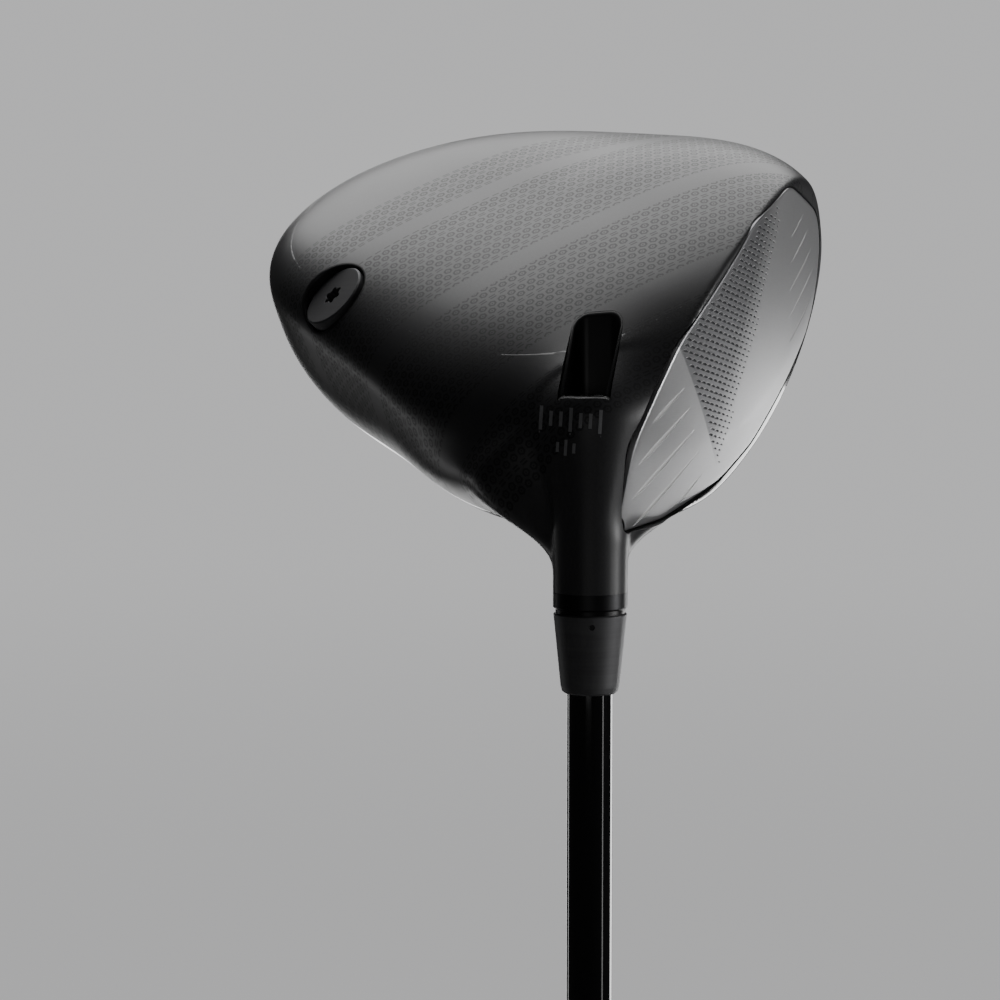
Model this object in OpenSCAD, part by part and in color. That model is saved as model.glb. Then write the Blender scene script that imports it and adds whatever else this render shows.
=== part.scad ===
// Adjustable golf driver: hollow head with a screwed rear weight, removable
// adapter hosel, shaft and rubber grip. Millimetres.
// Origin at the centre of the grip's butt end, +Z up the shaft towards the head,
// +X the target direction (the face side).

/* [Club] */
// Length along the shaft axis from the butt end to the sole plane, mm
club_len = 1155.7; // [1105:0.1:1168]
// Angle between shaft and ground at address, degrees
lie = 58; // [56:0.5:60]
// Backward lean of the face at its centre, degrees
loft = 9.5; // [8.5:0.5:10.5]

/* [Head shape] */
// Plan radius at the toe, mm
r_toe = 61; // [59.4:0.2:62.6]
// Plan radius towards front and toe, mm
r_front_toe = 57.3; // [56.3:0.2:58.3]
// Plan radius at the front, behind the face, mm
r_front = 56.8; // [56:0.2:58]
// Plan radius towards front and heel, mm
r_front_heel = 63; // [61.6:0.2:64]
// Plan radius at the heel, mm
r_heel = 57.6; // [56.6:0.2:58.6]
// Plan radius towards rear and heel, mm
r_rear_heel = 52.2; // [51.2:0.2:53.2]
// Plan radius at the rear, mm
r_rear = 68.9; // [67.3:0.2:70.5]
// Plan radius towards rear and toe, mm
r_rear_toe = 66.7; // [65.1:0.2:68.1]
// Height of the crown above the sole plane, mm
head_h = 60.9; // [59.7:0.2:62.1]
// Height of the widest line at the toe, mm
skirt_toe = 33.9; // [32.9:0.2:34.9]
// Height of the widest line at the front, mm
skirt_front = 28.1; // [27.3:0.2:28.9]
// Height of the widest line at the heel, mm
skirt_heel = 19; // [18.4:0.2:19.6]
// Height of the widest line at the rear, mm
skirt_rear = 19.6; // [19:0.2:20.2]
// Bulge and roll radius of the face, mm
face_r = 305; // [300:1:312]

/* [Shells] */
// Crown and sole shell thickness, mm
shell_t = 1.2; // [1.1:0.05:1.3]
// Head body wall thickness at the skirt, mm
wall_t = 2.4; // [2.2:0.1:2.6]
// Face plate thickness, mm
face_t = 3; // [2.8:0.1:3.4]
// Width of the groove round the face plate, mm
face_gap = 0.35; // [0.3:0.05:0.45]

/* [Hosel and adapter] */
// Outside diameter of the hosel, mm
hosel_d = 13.8; // [13.6:0.1:14]
// Distance from the sole plane to the hosel top along the shaft axis, mm
hosel_top = 54.2; // [54:0.1:55]
// Bore of the hosel tube, mm
hosel_bore = 10.5; // [10.4:0.05:10.6]
// Shaft tip diameter, mm
tip_d = 8.509; // [8.45:0.01:8.55]
// Radial running clearance of the adapter and the screws, mm
fit_gap = 0.05; // [0.03:0.01:0.07]
// Hosel screw thread diameter, mm
screw_d = 5; // [4.9:0.1:5.1]
// Ferrule length, mm
ferrule_len = 14.9; // [14:0.1:16]
// Length of the screw well across the sole, mm
well_len = 14.9; // [14.7:0.1:15.1]
// Width of the screw well, mm
well_w = 8.6; // [8.4:0.1:8.8]

/* [Rear weight] */
// Weight disc diameter, mm
weight_d = 14.4; // [14:0.1:14.8]
// Tilt of the weight axis from straight down, degrees
weight_tilt = 25.5; // [24:0.5:27]
// Direction of the weight axis round the sole, degrees
weight_turn = 49; // [47:0.5:51]

/* [Grip] */
// Grip length, mm
grip_len = 267; // [255:1:275]
// Grip diameter at the butt end, mm
grip_d = 31; // [30.5:0.1:32]
// Shaft diameter at the butt end, mm
butt_d = 15.24; // [15.2:0.02:15.4]

/* [Show] */
// Part to build, or all

/* [Hidden] */

// small overlap, also the least divisor
eps = 0.01;

// Head frame: origin where the shaft axis meets the sole plane,
// x towards the toe, y forward, z up to the crown.
body_toe = 43.4;
body_fwd = -29.6;
face_mid = [43, 14.45, 23.5];
ball_mid = face_mid - face_r * [0, cos(loft), sin(loft)];

// values at equal angles round the body centre, from the toe through the front
plan = [r_toe, r_front_toe, r_front, r_front_heel, r_heel, r_rear_heel, r_rear, r_rear_toe];
skirt = [skirt_toe, skirt_front, skirt_heel, skirt_rear];
// superellipse powers of the section below and above the skirt
sole_power = [2.22, 3.6, 2.38, 4.08];
crown_power = 2.21;

// latitudes where the shells meet the body
lat_crown = 24;
lat_sole = -40;
// depth of the ledges the shells are bonded to, and of their inner side
ledge_d = shell_t + 0.14;
ledge_in = ledge_d + 1.4;
// depths of the bond layers under the shells
bond_out = shell_t + 0.02;
bond_in = shell_t + 0.12;
// inset that keeps the well and port just inside the head form
form_gap = 0.02;

// stations along the shaft axis, measured from the sole plane towards the grip
well_roof = 15;
screw_base = 16.2;
screw_seat = 20.4;
bore_floor = 23;
sleeve_start = 23.5;
tip_floor = 32;
collar_start = 51.1;
ring_top = hosel_top + 0.8;
ferrule_top = ring_top + ferrule_len;
shaft_start = tip_floor + 0.3;
shaft_end = club_len - 4;
taper_start = 140;
taper_end = shaft_end - grip_len + 60;

hosel_r = hosel_d / 2;
bore_r = hosel_bore / 2;
sleeve_r = bore_r - fit_gap;
screw_r = screw_d / 2;
tip_r = tip_d / 2;
butt_r = butt_d / 2;
// top flange of the adapter sleeve
flange_r = 6;
flange_h = 3;
// size of the drive recess in both screws
drive_d = 4.5;
// screw well wall and the radius of its corners
well_wall = 1.5;
well_corner = 2.3;

// centre of the weight's outer face in the head frame
weight_at = [14.3, -65.8, 4.6];
weight_r = weight_d / 2;
weight_t = 3.2;
seal_t = 0.6;
weight_screw_r = 3;
port_floor = -weight_t - seal_t;

// ---- Curve helpers
function total(list, i = 0) = i < len(list) ? list[i] + total(list, i + 1) : 0;

// smooth periodic curve through equally spaced values, an even number of them
function wave(values, angle) =
    let(n = len(values), half = n / 2)
    total([for (j = [0:n - 1])
        let(d = angle - 360 * j / n)
        values[j] * (1 + 2 * total([for (m = [1:half - 1]) cos(m * d)]) + cos(half * d)) / n]);

// k, levelling off smoothly at 1
function soft_cap(k, width) =
    k > 1 + 14 * width ? 1
    : k < 1 - 14 * width ? k
    : -width * ln(exp(-k / width) + exp(-1 / width));

// minimum of two distances, rounded where they are closer than the width
function smooth_min(a, b, width) =
    let(h = max(width - abs(a - b), 0) / width)
    min(a, b) - h * h * h * width / 6;

function smooth_step(x) = let(y = max(0, min(1, x))) y * y * (3 - 2 * y);
function tanh_of(x) = let(a = exp(2 * x)) (a - 1) / (a + 1);
function pos_pow(value, power) = value <= 0 ? 0 : pow(value, power);

// ---- Head form and neck as signed distances, negative inside
// shaft axis in the head frame, and the two directions across it
axis_dir = [-cos(lie), 0, sin(lie)];
across_fwd = [0, 1, 0];
across_toe = [sin(lie), 0, cos(lie)];

// rough distance from the plain head form
function body_gap(point) =
    let(x = point[0] - body_toe, y = point[1] - body_fwd,
        angle = atan2(y, x), radius = norm([x, y]),
        skirt_z = wave(skirt, angle), rise = point[2] - skirt_z, upper = rise >= 0,
        power = upper ? crown_power : wave(sole_power, angle),
        height = upper ? head_h - skirt_z : skirt_z,
        scale_out = pow(pow(radius / wave(plan, angle), power)
            + pow(abs(rise) / height, power), 1 / power))
    norm([radius, rise]) * (1 - 1 / max(scale_out, eps));

// widening of the neck at a station, in a direction round the shaft axis from forward
function flare(station, angle) =
    let(rate = 0.1 * smooth_step((cos(angle - 125) + 0.1) / 0.6),
        below = max(0, 48 - station), limit = 13)
    limit * tanh_of(rate * below * below / limit) * smooth_step((station - 18) / 14);

function neck_gap(station, angle, radius) =
    let(held = max(20, station), widening = flare(held, angle))
    (norm([radius, station - held]) - hosel_r - widening) / (1 + 0.12 * widening);

// head form and neck blended together
function blend_gap(point, station, angle, radius) =
    smooth_min(body_gap(point), neck_gap(station, angle, radius), 20);

function blend_at(point) =
    let(station = max(20, min(29, point * axis_dir)),
        off = point - station * axis_dir,
        radius = norm(off), angle = atan2(off * across_toe, off * across_fwd))
    radius > 46 ? 1 : blend_gap(point, station, angle, radius);

// ---- Points of the head surface, by plan angle and latitude
n_phi = 72;
phis = [for (i = [0:n_phi - 1]) 360 * i / n_phi];
plan_at = [for (phi = phis) wave(plan, phi)];
skirt_at = [for (phi = phis) wave(skirt, phi)];
sole_power_at = [for (phi = phis) wave(sole_power, phi)];

// ray from the skirt centre to the plain head form
function ray(i, lat) =
    let(upper = lat >= 0, power = 2 / (upper ? crown_power : sole_power_at[i]),
        out = plan_at[i] * pos_pow(cos(lat), power),
        height = upper ? head_h - skirt_at[i] : -skirt_at[i])
    [out * cos(phis[i]), out * sin(phis[i]), pos_pow(abs(sin(lat)), power) * height];

// multiple of the ray that reaches the face ball
function face_reach(start, dir) =
    let(w = start - ball_mid, a = dir * dir, b = w * dir, c = w * w - face_r * face_r)
    (-b + sqrt(max(0, b * b - a * c))) / max(a, eps);

// multiple of the ray that reaches the blended neck, found by halving
function halve_ray(start, dir, low, high, n) =
    let(mid = (low + high) / 2)
    n == 0 ? mid
    : blend_at(start + dir * mid) > 0 ? halve_ray(start, dir, low, mid, n - 1)
    : halve_ray(start, dir, mid, high, n - 1);
function blend_reach(start, dir) =
    blend_at(start + dir * 1.002) > 0 ? 1
    : blend_at(start + dir * 1.12) < 0 ? 1.12
    : halve_ray(start, dir, 1, 1.12, 9);

function surface_point(i, lat, inset) =
    let(start = [body_toe, body_fwd, skirt_at[i]], dir = ray(i, lat),
        reach = blend_reach(start, dir),
        k = reach * soft_cap(face_reach(start, dir) / reach, 0.012))
    start + dir * k * (1 - inset / (norm(dir) * k));

// ---- Meshes of the head surface
function ring(lat, inset) = [for (i = [0:n_phi - 1]) surface_point(i, lat, inset)];
function rings(steps) = [for (q = steps) each ring(q[0], q[1])];
function idx(row, i) = row * n_phi + (i % n_phi);

// two triangles a cell between rows j and k, with the diagonal always rising the same way
function strip(lat_j, lat_k, j, k) = [for (i = [0:n_phi - 1], h = [0, 1])
    let(a = idx(j, i), b = idx(j, i + 1), c = idx(k, i + 1), d = idx(k, i))
    lat_k >= lat_j ? (h == 0 ? [a, c, b] : [a, d, c]) : (h == 0 ? [a, d, b] : [d, c, b])];
function flipped(faces) = [for (f = faces) [f[0], f[2], f[1]]];

// fan from a row to a pole point, wound one way or the other
function fan(row, pole, pole_second) = [for (i = [0:n_phi - 1])
    pole_second ? [idx(row, i), pole, idx(row, i + 1)] : [idx(row, i), idx(row, i + 1), pole]];

// [latitude, depth] steps along the outer depth and back along the inner depth
function fold(lats, outer, inner) = concat(
    [for (lat = lats) [lat, outer]],
    [for (j = [len(lats) - 1:-1:0]) [lats[j], inner]]);

// closed ring of the head wall from a loop of [latitude, depth] steps, outside going up
module ring_wall(steps) {
    m = len(steps);
    polyhedron(
        points = rings(steps),
        faces = [for (j = [0:m - 1])
            let(k = (j + 1) % m)
            each strip(steps[j][0], steps[k][0], j, k)],
        convexity = 6);
}

// domed cap of the head wall from the edge latitude to the pole
module cap(lats, outer, inner, upper) {
    m = len(lats);
    steps = fold(lats, outer, inner);
    pole = 2 * m * n_phi;
    walls = [for (j = [0:2 * m - 1]) if (j != m - 1)
        let(k = (j + 1) % (2 * m), cells = strip(steps[j][0], steps[k][0], j, k))
        each (upper ? cells : flipped(cells))];
    poles = [for (depth = [outer, inner]) [body_toe, body_fwd, upper ? head_h - depth : depth]];
    polyhedron(
        points = concat(rings(steps), poles),
        faces = concat(walls, fan(m - 1, pole, upper), fan(m, pole + 1, !upper)),
        convexity = 6);
}

// whole outer form of the head, moved inwards
module form(inset) {
    lats = [-80, -70, -60, -52, -44, -36, -28, -20, -10, 0, 10, 20, 30, 40, 50, 60, 70, 80];
    m = len(lats);
    pole = m * n_phi;
    polyhedron(
        points = concat(
            rings([for (lat = lats) [lat, inset]]),
            [[body_toe, body_fwd, inset], [body_toe, body_fwd, head_h - inset]]),
        faces = concat(
            [for (j = [0:m - 2]) each strip(lats[j], lats[j + 1], j, j + 1)],
            fan(0, pole, false),
            fan(m - 1, pole + 1, true)),
        convexity = 4);
}

// ---- Neck fairing
// heel limit of the face, a line in the face plane
function heel_cut(point) = 0.464 * (point[0] + 21.4) - 0.885 * (point[2] - 34.8);

function axis_point(station, angle, radius) =
    station * axis_dir + radius * (cos(angle) * across_fwd + sin(angle) * across_toe);

// blended form, trimmed to the face ball except past the heel limit and at the hosel core
function fairing_gap(station, angle, radius) =
    let(point = axis_point(station, angle, radius))
    max(blend_gap(point, station, angle, radius),
        min(norm(point - ball_mid) - face_r, heel_cut(point), radius - hosel_r + 0.4));
function halve_neck(station, angle, low, high, n) =
    let(mid = (low + high) / 2)
    n == 0 ? mid
    : fairing_gap(station, angle, mid) > 0 ? halve_neck(station, angle, low, mid, n - 1)
    : halve_neck(station, angle, mid, high, n - 1);
function neck_r(station, angle) =
    let(widest = 19)
    fairing_gap(station, angle, widest) < 0 ? widest
    : halve_neck(station, angle, 2, widest, 10);

module neck_fairing() {
    // the last station is plain and round
    stations = [20.7, 22.9, 24.5, 26, 28, 30, 32, 34, 36, 38, 40, 42, 44, 46, 48, 51];
    n = 48;
    rows = len(stations);
    points = [for (s = stations, j = [0:n - 1])
        let(angle = 360 * j / n)
        axis_point(s, angle, s > 50 ? hosel_r - 0.02 : neck_r(s, angle))];
    sides = [for (a = [0:rows - 2], j = [0:n - 1], h = [0, 1])
        let(p0 = a * n + j, p1 = a * n + (j + 1) % n, p2 = p1 + n, p3 = p0 + n)
        h == 0 ? [p0, p1, p2] : [p0, p2, p3]];
    first_end = [for (j = [n - 1:-1:0]) j];
    last_end = [for (j = [0:n - 1]) (rows - 1) * n + j];
    polyhedron(points = points, faces = concat(sides, [first_end, last_end]), convexity = 4);
}

// ---- Placement
// children in the head frame
module head()
    translate([0, 0, club_len]) rotate([90 - lie, 0, 0]) rotate([180, 0, 90]) children();
// along the shaft axis: local z is the station
module axis_place() translate([0, 0, club_len]) rotate([180, 0, 0]) children();
// the shaft axis seen from inside the head frame
module head_axis() rotate([0, lie - 90, 0]) children();
// seen from inside the head frame: local z is the outward axis of the weight
module head_weight()
    translate(weight_at) rotate([0, 180 - weight_tilt, 180 + weight_turn]) children();

// ---- Face
// circles round the face outline: toe-ward, up, radius, facets
face_circles = [
    [56, 18.2, 10.9, 56], [40, 14.8, 10.2, 56],
    [5.5, 17.4, 8.4, 40], [-8.4, 24.8, 7.7, 40],
    [66.5, 34, 15.6, 64], [34, 41.2, 10.5, 48],
    [56, 38.8, 12, 48], [19, 41.3, 8.2, 40],
    [-20.2, 33.5, 1, 24], [-6.4, 40.7, 0.8, 24]
];
// extrudes a toe-ward and up outline backwards from 40 forward
module extrude_back(depth)
    multmatrix([[1, 0, 0, 0], [0, 0, -1, 40], [0, 1, 0, 0], [0, 0, 0, 1]])
        linear_extrude(height = depth) children();

module face_prism(grow)
    extrude_back(80)
        offset(delta = grow, chamfer = false) hull()
            for (c = face_circles) translate([c[0], c[1]]) circle(r = c[2], $fn = c[3]);

// the column round the hosel that stays part of the body
module column(grow)
    head_axis() translate([0, 0, 6]) rotate([0, 0, 1.7])
        cylinder(r = hosel_r + grow, h = 50, $fn = 72);

module opening() {
    difference() {
        face_prism(face_gap);
        column(0.3);
    }
}

module plate_prism() {
    difference() {
        face_prism(0);
        column(face_gap + 0.3);
    }
}

module face_ball(inset) translate(ball_mid) sphere(r = face_r - inset, $fn = 360);

// slab of the ball near the face only, between two depths
module face_zone(outer, inner) {
    intersection() {
        translate([-30, -14, -4]) cube([130, 60, 70]);
        difference() {
            face_ball(outer);
            face_ball(inner);
        }
    }
}

// score lines: height, heel line start and end, toe line start and end (toe-ward)
score_lines = [
    [18.8, -7.2, 4, 58.9, 68],
    [24.2, -13, 5.5, 58.2, 71.4],
    [30, -16, 6.7, 56.6, 73.6],
    [36, -16.1, 8.2, 55.8, 75.6],
    [42.2, -0.3, 9.1, 56.2, 74.5]
];
module score(start, end, height, half_start, half_end)
    extrude_back(60) polygon([
        [start, height - half_start], [end, height - half_end],
        [end, height + half_end], [start, height + half_start]]);

// ---- Cuts in the head
// screw well between two stations: a rounded rectangle across the shaft axis
module well_form(grow, from, to)
    head_axis() translate([-0.1, 0, from]) rotate([0, 0, -14])
        linear_extrude(height = to - from) hull()
            for (a = [-1, 1], b = [-1, 1])
                translate([a * (well_len / 2 - well_corner), b * (well_w / 2 - well_corner)])
                    circle(r = well_corner + grow, $fn = 32);

// room for the weight port and the screw well
module sole_cuts() {
    head_weight() translate([0, 0, -20]) rotate([0, 0, 1.3])
        cylinder(r = weight_r + 2.05, h = 40, $fn = 90);
    well_form(well_wall + 0.02, -12, well_roof + well_wall + 0.04);
}

// room for the neck and the face
module front_cuts() {
    neck_fairing();
    opening();
}

// ---- Head
// resize([0, 0, 0]) leaves a piece at its own size
module head_body() color([0.12, 0.12, 0.13]) head() {
    wall_lats = [-30, -20, -10, 0, 8, 16];
    steps = concat(
        [[lat_sole, 0]],
        [for (lat = wall_lats) [lat, 0]],
        [[lat_crown, 0]],
        [for (d = [0, 3, 6, 7]) [lat_crown + d, ledge_d]],
        [[lat_crown + 7, ledge_in], [lat_crown, ledge_in]],
        [for (j = [len(wall_lats) - 1:-1:0]) [wall_lats[j], wall_t]],
        [[lat_sole, ledge_in], [lat_sole - 7, ledge_in]],
        [for (d = [7, 6, 3, 0]) [lat_sole - d, ledge_d]]);
    resize([0, 0, 0]) difference() {
        union() {
            ring_wall(steps);
            neck_fairing();
        }
        opening();
        head_axis() translate([0, 0, 10]) cylinder(r = hosel_r - 0.9, h = 60, $fn = 96);
        sole_cuts();
    }
}

module crown_shell() color([0.02, 0.02, 0.022]) head() {
    lats = concat([for (d = [0.1, 3, 6, 7, 9.5]) lat_crown + d],
        [38, 43, 48, 54, 60, 66, 72, 78, 84]);
    resize([0, 0, 0]) difference() {
        cap(lats, 0, shell_t, true);
        front_cuts();
    }
}

module crown_bond() color([0.5, 0.5, 0.45]) head()
    resize([0, 0, 0]) difference() {
        ring_wall(fold([for (d = [0.1, 3, 6]) lat_crown + d], bond_out, bond_in));
        front_cuts();
    }

module sole_shell() color([0.16, 0.16, 0.17]) head() {
    lats = concat([for (d = [0.1, 3, 6]) lat_sole - d],
        [-50, -55, -60, -65, -70, -75, -80, -85]);
    resize([0, 0, 0]) difference() {
        cap(lats, 0, shell_t, false);
        front_cuts();
        sole_cuts();
    }
}

module sole_bond() color([0.5, 0.5, 0.45]) head()
    resize([0, 0, 0]) difference() {
        ring_wall(fold([for (d = [6, 3, 0.1]) lat_sole - d], bond_out, bond_in));
        front_cuts();
        sole_cuts();
    }

module face_plate() color([0.62, 0.62, 0.64]) head()
    resize([0, 0, 0]) difference() {
        intersection() {
            plate_prism();
            face_zone(0, face_t);
        }
        intersection() {
            face_zone(-1, 0.2);
            union() {
                for (s = score_lines) {
                    score(s[1], s[2], s[0], 0.42, 0.18);
                    score(s[3], s[4], s[0], 0.16, 0.26);
                }
            }
        }
    }

module face_weld() color([0.4, 0.4, 0.42]) head()
    resize([0, 0, 0]) intersection() {
        difference() {
            opening();
            plate_prism();
        }
        face_zone(0.6, 2.2);
    }

module hosel_tube() color([0.3, 0.3, 0.32]) axis_place() {
    tube_start = well_roof + well_wall + 0.1;
    chamfer = 0.3;
    difference() {
        union() {
            translate([0, 0, tube_start])
                cylinder(r = hosel_r - 0.95, h = collar_start - tube_start, $fn = 64);
            translate([0, 0, collar_start])
                cylinder(r = hosel_r, h = hosel_top - collar_start - chamfer, $fn = 64);
            translate([0, 0, hosel_top - chamfer])
                cylinder(r1 = hosel_r, r2 = hosel_r - chamfer, h = chamfer, $fn = 64);
        }
        translate([0, 0, bore_floor]) cylinder(r = bore_r, h = 60, $fn = 64);
        // room for the screw head, then the screw hole
        translate([0, 0, screw_seat - 5]) cylinder(r = 4.6, h = 5, $fn = 64);
        translate([0, 0, screw_seat - 1]) cylinder(r = screw_r + 0.5, h = 10, $fn = 64);
    }
}

module screw_well() color([0.1, 0.1, 0.11]) head()
    difference() {
        resize([0, 0, 0]) difference() {
            intersection() {
                form(form_gap);
                well_form(well_wall - 0.02, -12, well_roof + well_wall);
            }
            well_form(0, -14, well_roof);
        }
        head_axis() translate([0, 0, well_roof - 3]) cylinder(r = 4.7, h = 12, $fn = 64);
    }

module screw_washer() color([0.05, 0.05, 0.05]) axis_place()
    difference() {
        translate([0, 0, bore_floor]) cylinder(r = bore_r - 0.15, h = 0.4, $fn = 48);
        translate([0, 0, bore_floor - 1]) cylinder(r = screw_r + fit_gap, h = 3, $fn = 48);
    }

// six-lobe drive recess
module lobes(height) {
    cylinder(r = drive_d * 0.36, h = height, $fn = 36);
    for (a = [0:60:300])
        rotate([0, 0, a]) translate([drive_d * 0.36, 0, 0])
            cylinder(r = drive_d * 0.13, h = height, $fn = 16);
}

module hosel_screw() color([0.35, 0.35, 0.36]) axis_place() {
    head_r = 4;
    head_start = screw_base + 0.8;
    thread_end = tip_floor - 1.6;
    difference() {
        union() {
            translate([0, 0, screw_base + 0.4])
                cylinder(r1 = head_r - 0.4, r2 = head_r, h = 0.4, $fn = 48);
            translate([0, 0, head_start])
                cylinder(r = head_r, h = screw_seat - head_start, $fn = 48);
            translate([0, 0, screw_seat - eps])
                cylinder(r = screw_r, h = thread_end - screw_seat, $fn = 48);
            translate([0, 0, thread_end - 2 * eps])
                cylinder(r1 = screw_r, r2 = screw_r - 0.5, h = 0.6, $fn = 48);
        }
        translate([0, 0, screw_base]) lobes(3);
    }
}

// ---- Rear weight
module weight_port() color([0.14, 0.14, 0.15]) head()
    difference() {
        resize([0, 0, 0]) intersection() {
            form(form_gap);
            head_weight() translate([0, 0, -12.5]) cylinder(r = weight_r + 2, h = 40, $fn = 96);
        }
        head_weight() translate([0, 0, port_floor])
            cylinder(r = weight_r + 0.35, h = 40, $fn = 64);
        head_weight() translate([0, 0, -11.3])
            cylinder(r = weight_screw_r + fit_gap, h = 40, $fn = 48);
    }

module weight_seal() color([0.03, 0.03, 0.03]) head() head_weight()
    translate([0, 0, port_floor]) difference() {
        cylinder(r = weight_r - 0.6, h = seal_t, $fn = 64);
        translate([0, 0, -1]) cylinder(r = weight_screw_r + fit_gap, h = 3, $fn = 48);
    }

module rear_weight() color([0.3, 0.3, 0.31]) head() head_weight() {
    chamfer = 0.3;
    difference() {
        union() {
            translate([0, 0, -weight_t])
                cylinder(r = weight_r, h = weight_t - chamfer, $fn = 64);
            translate([0, 0, -chamfer])
                cylinder(r1 = weight_r, r2 = weight_r - chamfer, h = chamfer, $fn = 64);
            translate([0, 0, -10.6]) cylinder(r = weight_screw_r, h = 8, $fn = 48);
            translate([0, 0, -11.1])
                cylinder(r1 = weight_screw_r - 0.5, r2 = weight_screw_r, h = 0.5, $fn = 48);
        }
        translate([0, 0, -2.4]) lobes(4);
    }
}

module damping_pad() color([0.75, 0.7, 0.55]) head()
    resize([0, 0, 0]) intersection() {
        difference() {
            form(shell_t + 0.02);
            form(shell_t + 3.6);
        }
        translate([62, -40, -2]) cylinder(r = 11, h = 14, $fn = 48);
    }

// ---- Adapter and shaft
module adapter_sleeve() color([0.5, 0.5, 0.52]) axis_place() {
    chamfer = 0.3;
    body_start = sleeve_start + chamfer;
    difference() {
        union() {
            translate([0, 0, sleeve_start])
                cylinder(r1 = sleeve_r - chamfer, r2 = sleeve_r, h = chamfer, $fn = 64);
            translate([0, 0, body_start - eps])
                cylinder(r = sleeve_r, h = ring_top - body_start + 2 * eps, $fn = 64);
            translate([0, 0, ring_top]) cylinder(r = flange_r, h = flange_h, $fn = 64);
        }
        translate([0, 0, tip_floor]) cylinder(r = tip_r + 0.06, h = 60, $fn = 64);
        translate([0, 0, sleeve_start - 1]) cylinder(r = screw_r + fit_gap, h = 20, $fn = 48);
    }
}

module hosel_ring() color([0.02, 0.02, 0.02]) axis_place()
    difference() {
        translate([0, 0, hosel_top])
            cylinder(r = hosel_r - 0.45, h = ring_top - hosel_top, $fn = 64);
        translate([0, 0, hosel_top - 1]) cylinder(r = sleeve_r + 0.02, h = 4, $fn = 64);
    }

// local z points outwards from the seat of the alignment dot
module dot_place()
    rotate([0, 0, 60]) translate([6.2, 0, ring_top + 2]) rotate([0, 90, 0]) children();

module ferrule() color([0.2, 0.2, 0.21]) axis_place()
    difference() {
        rotate_extrude($fn = 64) polygon([
            [0, ring_top], [hosel_r - 0.35, ring_top], [hosel_r - 0.1, ring_top + 0.25],
            [5.45, ferrule_top - 1.3], [5.2, ferrule_top - 0.35],
            [4.75, ferrule_top], [0, ferrule_top]]);
        // room for the sleeve flange, then the shaft
        translate([0, 0, ring_top - 1])
            cylinder(r = flange_r + 0.02, h = flange_h + 1.02, $fn = 64);
        translate([0, 0, ring_top - 1]) cylinder(r = tip_r + 0.02, h = 40, $fn = 64);
        dot_place() cylinder(r = 0.52, h = 3, $fn = 24);
    }

module ferrule_dot() color([0.02, 0.02, 0.02]) axis_place()
    dot_place() cylinder(r = 0.5, h = 0.3, $fn = 24);

module shaft() color([0.03, 0.03, 0.035]) axis_place() {
    inner_tip_r = tip_r - 1.6;
    inner_butt_r = butt_r - 0.9;
    difference() {
        rotate_extrude($fn = 64) polygon([
            [0, shaft_start], [tip_r, shaft_start], [tip_r, taper_start],
            [butt_r, taper_end], [butt_r, shaft_end], [0, shaft_end]]);
        rotate_extrude($fn = 48) polygon([
            [0, tip_floor], [inner_tip_r, tip_floor], [inner_tip_r, taper_start],
            [inner_butt_r, taper_end], [inner_butt_r, club_len], [0, club_len]]);
    }
}

module shaft_plug() color([0.6, 0.5, 0.25]) axis_place()
    translate([0, 0, shaft_start]) cylinder(r = tip_r - 1.62, h = 18, $fn = 48);

module shaft_bond() color([0.8, 0.75, 0.6]) axis_place()
    difference() {
        translate([0, 0, shaft_start])
            cylinder(r = tip_r + 0.058, h = ring_top + 2.6 - tip_floor, $fn = 64);
        translate([0, 0, tip_floor]) cylinder(r = tip_r + 0.002, h = 60, $fn = 64);
    }

// ---- Grip
tape_t = 0.25;
// grip length without the part past the tape
tape_reach = grip_len - 64;
grip_r = grip_d / 2;
grip_mouth_r = 9.6;
// cap rim and the plug that sits in the grip
cap_r = 13.9;
cap_plug_r = 11;
// outside of the grip: height from the butt end, radius
grip_profile = [
    [5, grip_r], [9, grip_r - 0.2], [40, 13.6], [90, 12.4],
    [150, 11.2], [215, 10.2], [258, grip_mouth_r]
];
function grip_r_at(z) = lookup(z, grip_profile);

module grip_tape() color([0.85, 0.83, 0.75]) axis_place()
    difference() {
        translate([0, 0, club_len - tape_reach])
            cylinder(r = butt_r + tape_t, h = tape_reach - 4.2, $fn = 64);
        translate([0, 0, club_len - grip_len])
            cylinder(r = butt_r + 0.01, h = grip_len + 10, $fn = 64);
    }

module grip() color([0.05, 0.05, 0.05]) {
    bore_start = 3.9;
    butt_end = [[0, 2], [grip_r - 1.6, 2], [grip_r - 0.5, 3], [grip_r, 5.2], [grip_r - 0.2, 9]];
    // shallow tread rings
    treads = [for (z = [26:22:236]) each [
        [grip_r_at(z - 0.9), z - 0.9],
        [grip_r_at(z) - 0.45, z - 0.4],
        [grip_r_at(z) - 0.45, z + 0.4],
        [grip_r_at(z + 0.9), z + 0.9]]];
    mouth = [[grip_mouth_r, 257], [grip_mouth_r + 0.5, 261],
        [grip_mouth_r + 0.4, grip_len - 2], [grip_mouth_r - 0.9, grip_len], [0, grip_len]];
    difference() {
        rotate_extrude($fn = 64) polygon(concat(butt_end, treads, mouth));
        // seat of the cap
        translate([0, 0, -1]) cylinder(r = cap_plug_r + 0.02, h = 5.02, $fn = 64);
        translate([0, 0, bore_start]) cylinder(r = butt_r + 0.02, h = grip_len, $fn = 64);
        // room for the tape
        translate([0, 0, bore_start])
            cylinder(r = butt_r + tape_t + 0.01, h = tape_reach - 3.7, $fn = 64);
    }
}

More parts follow.
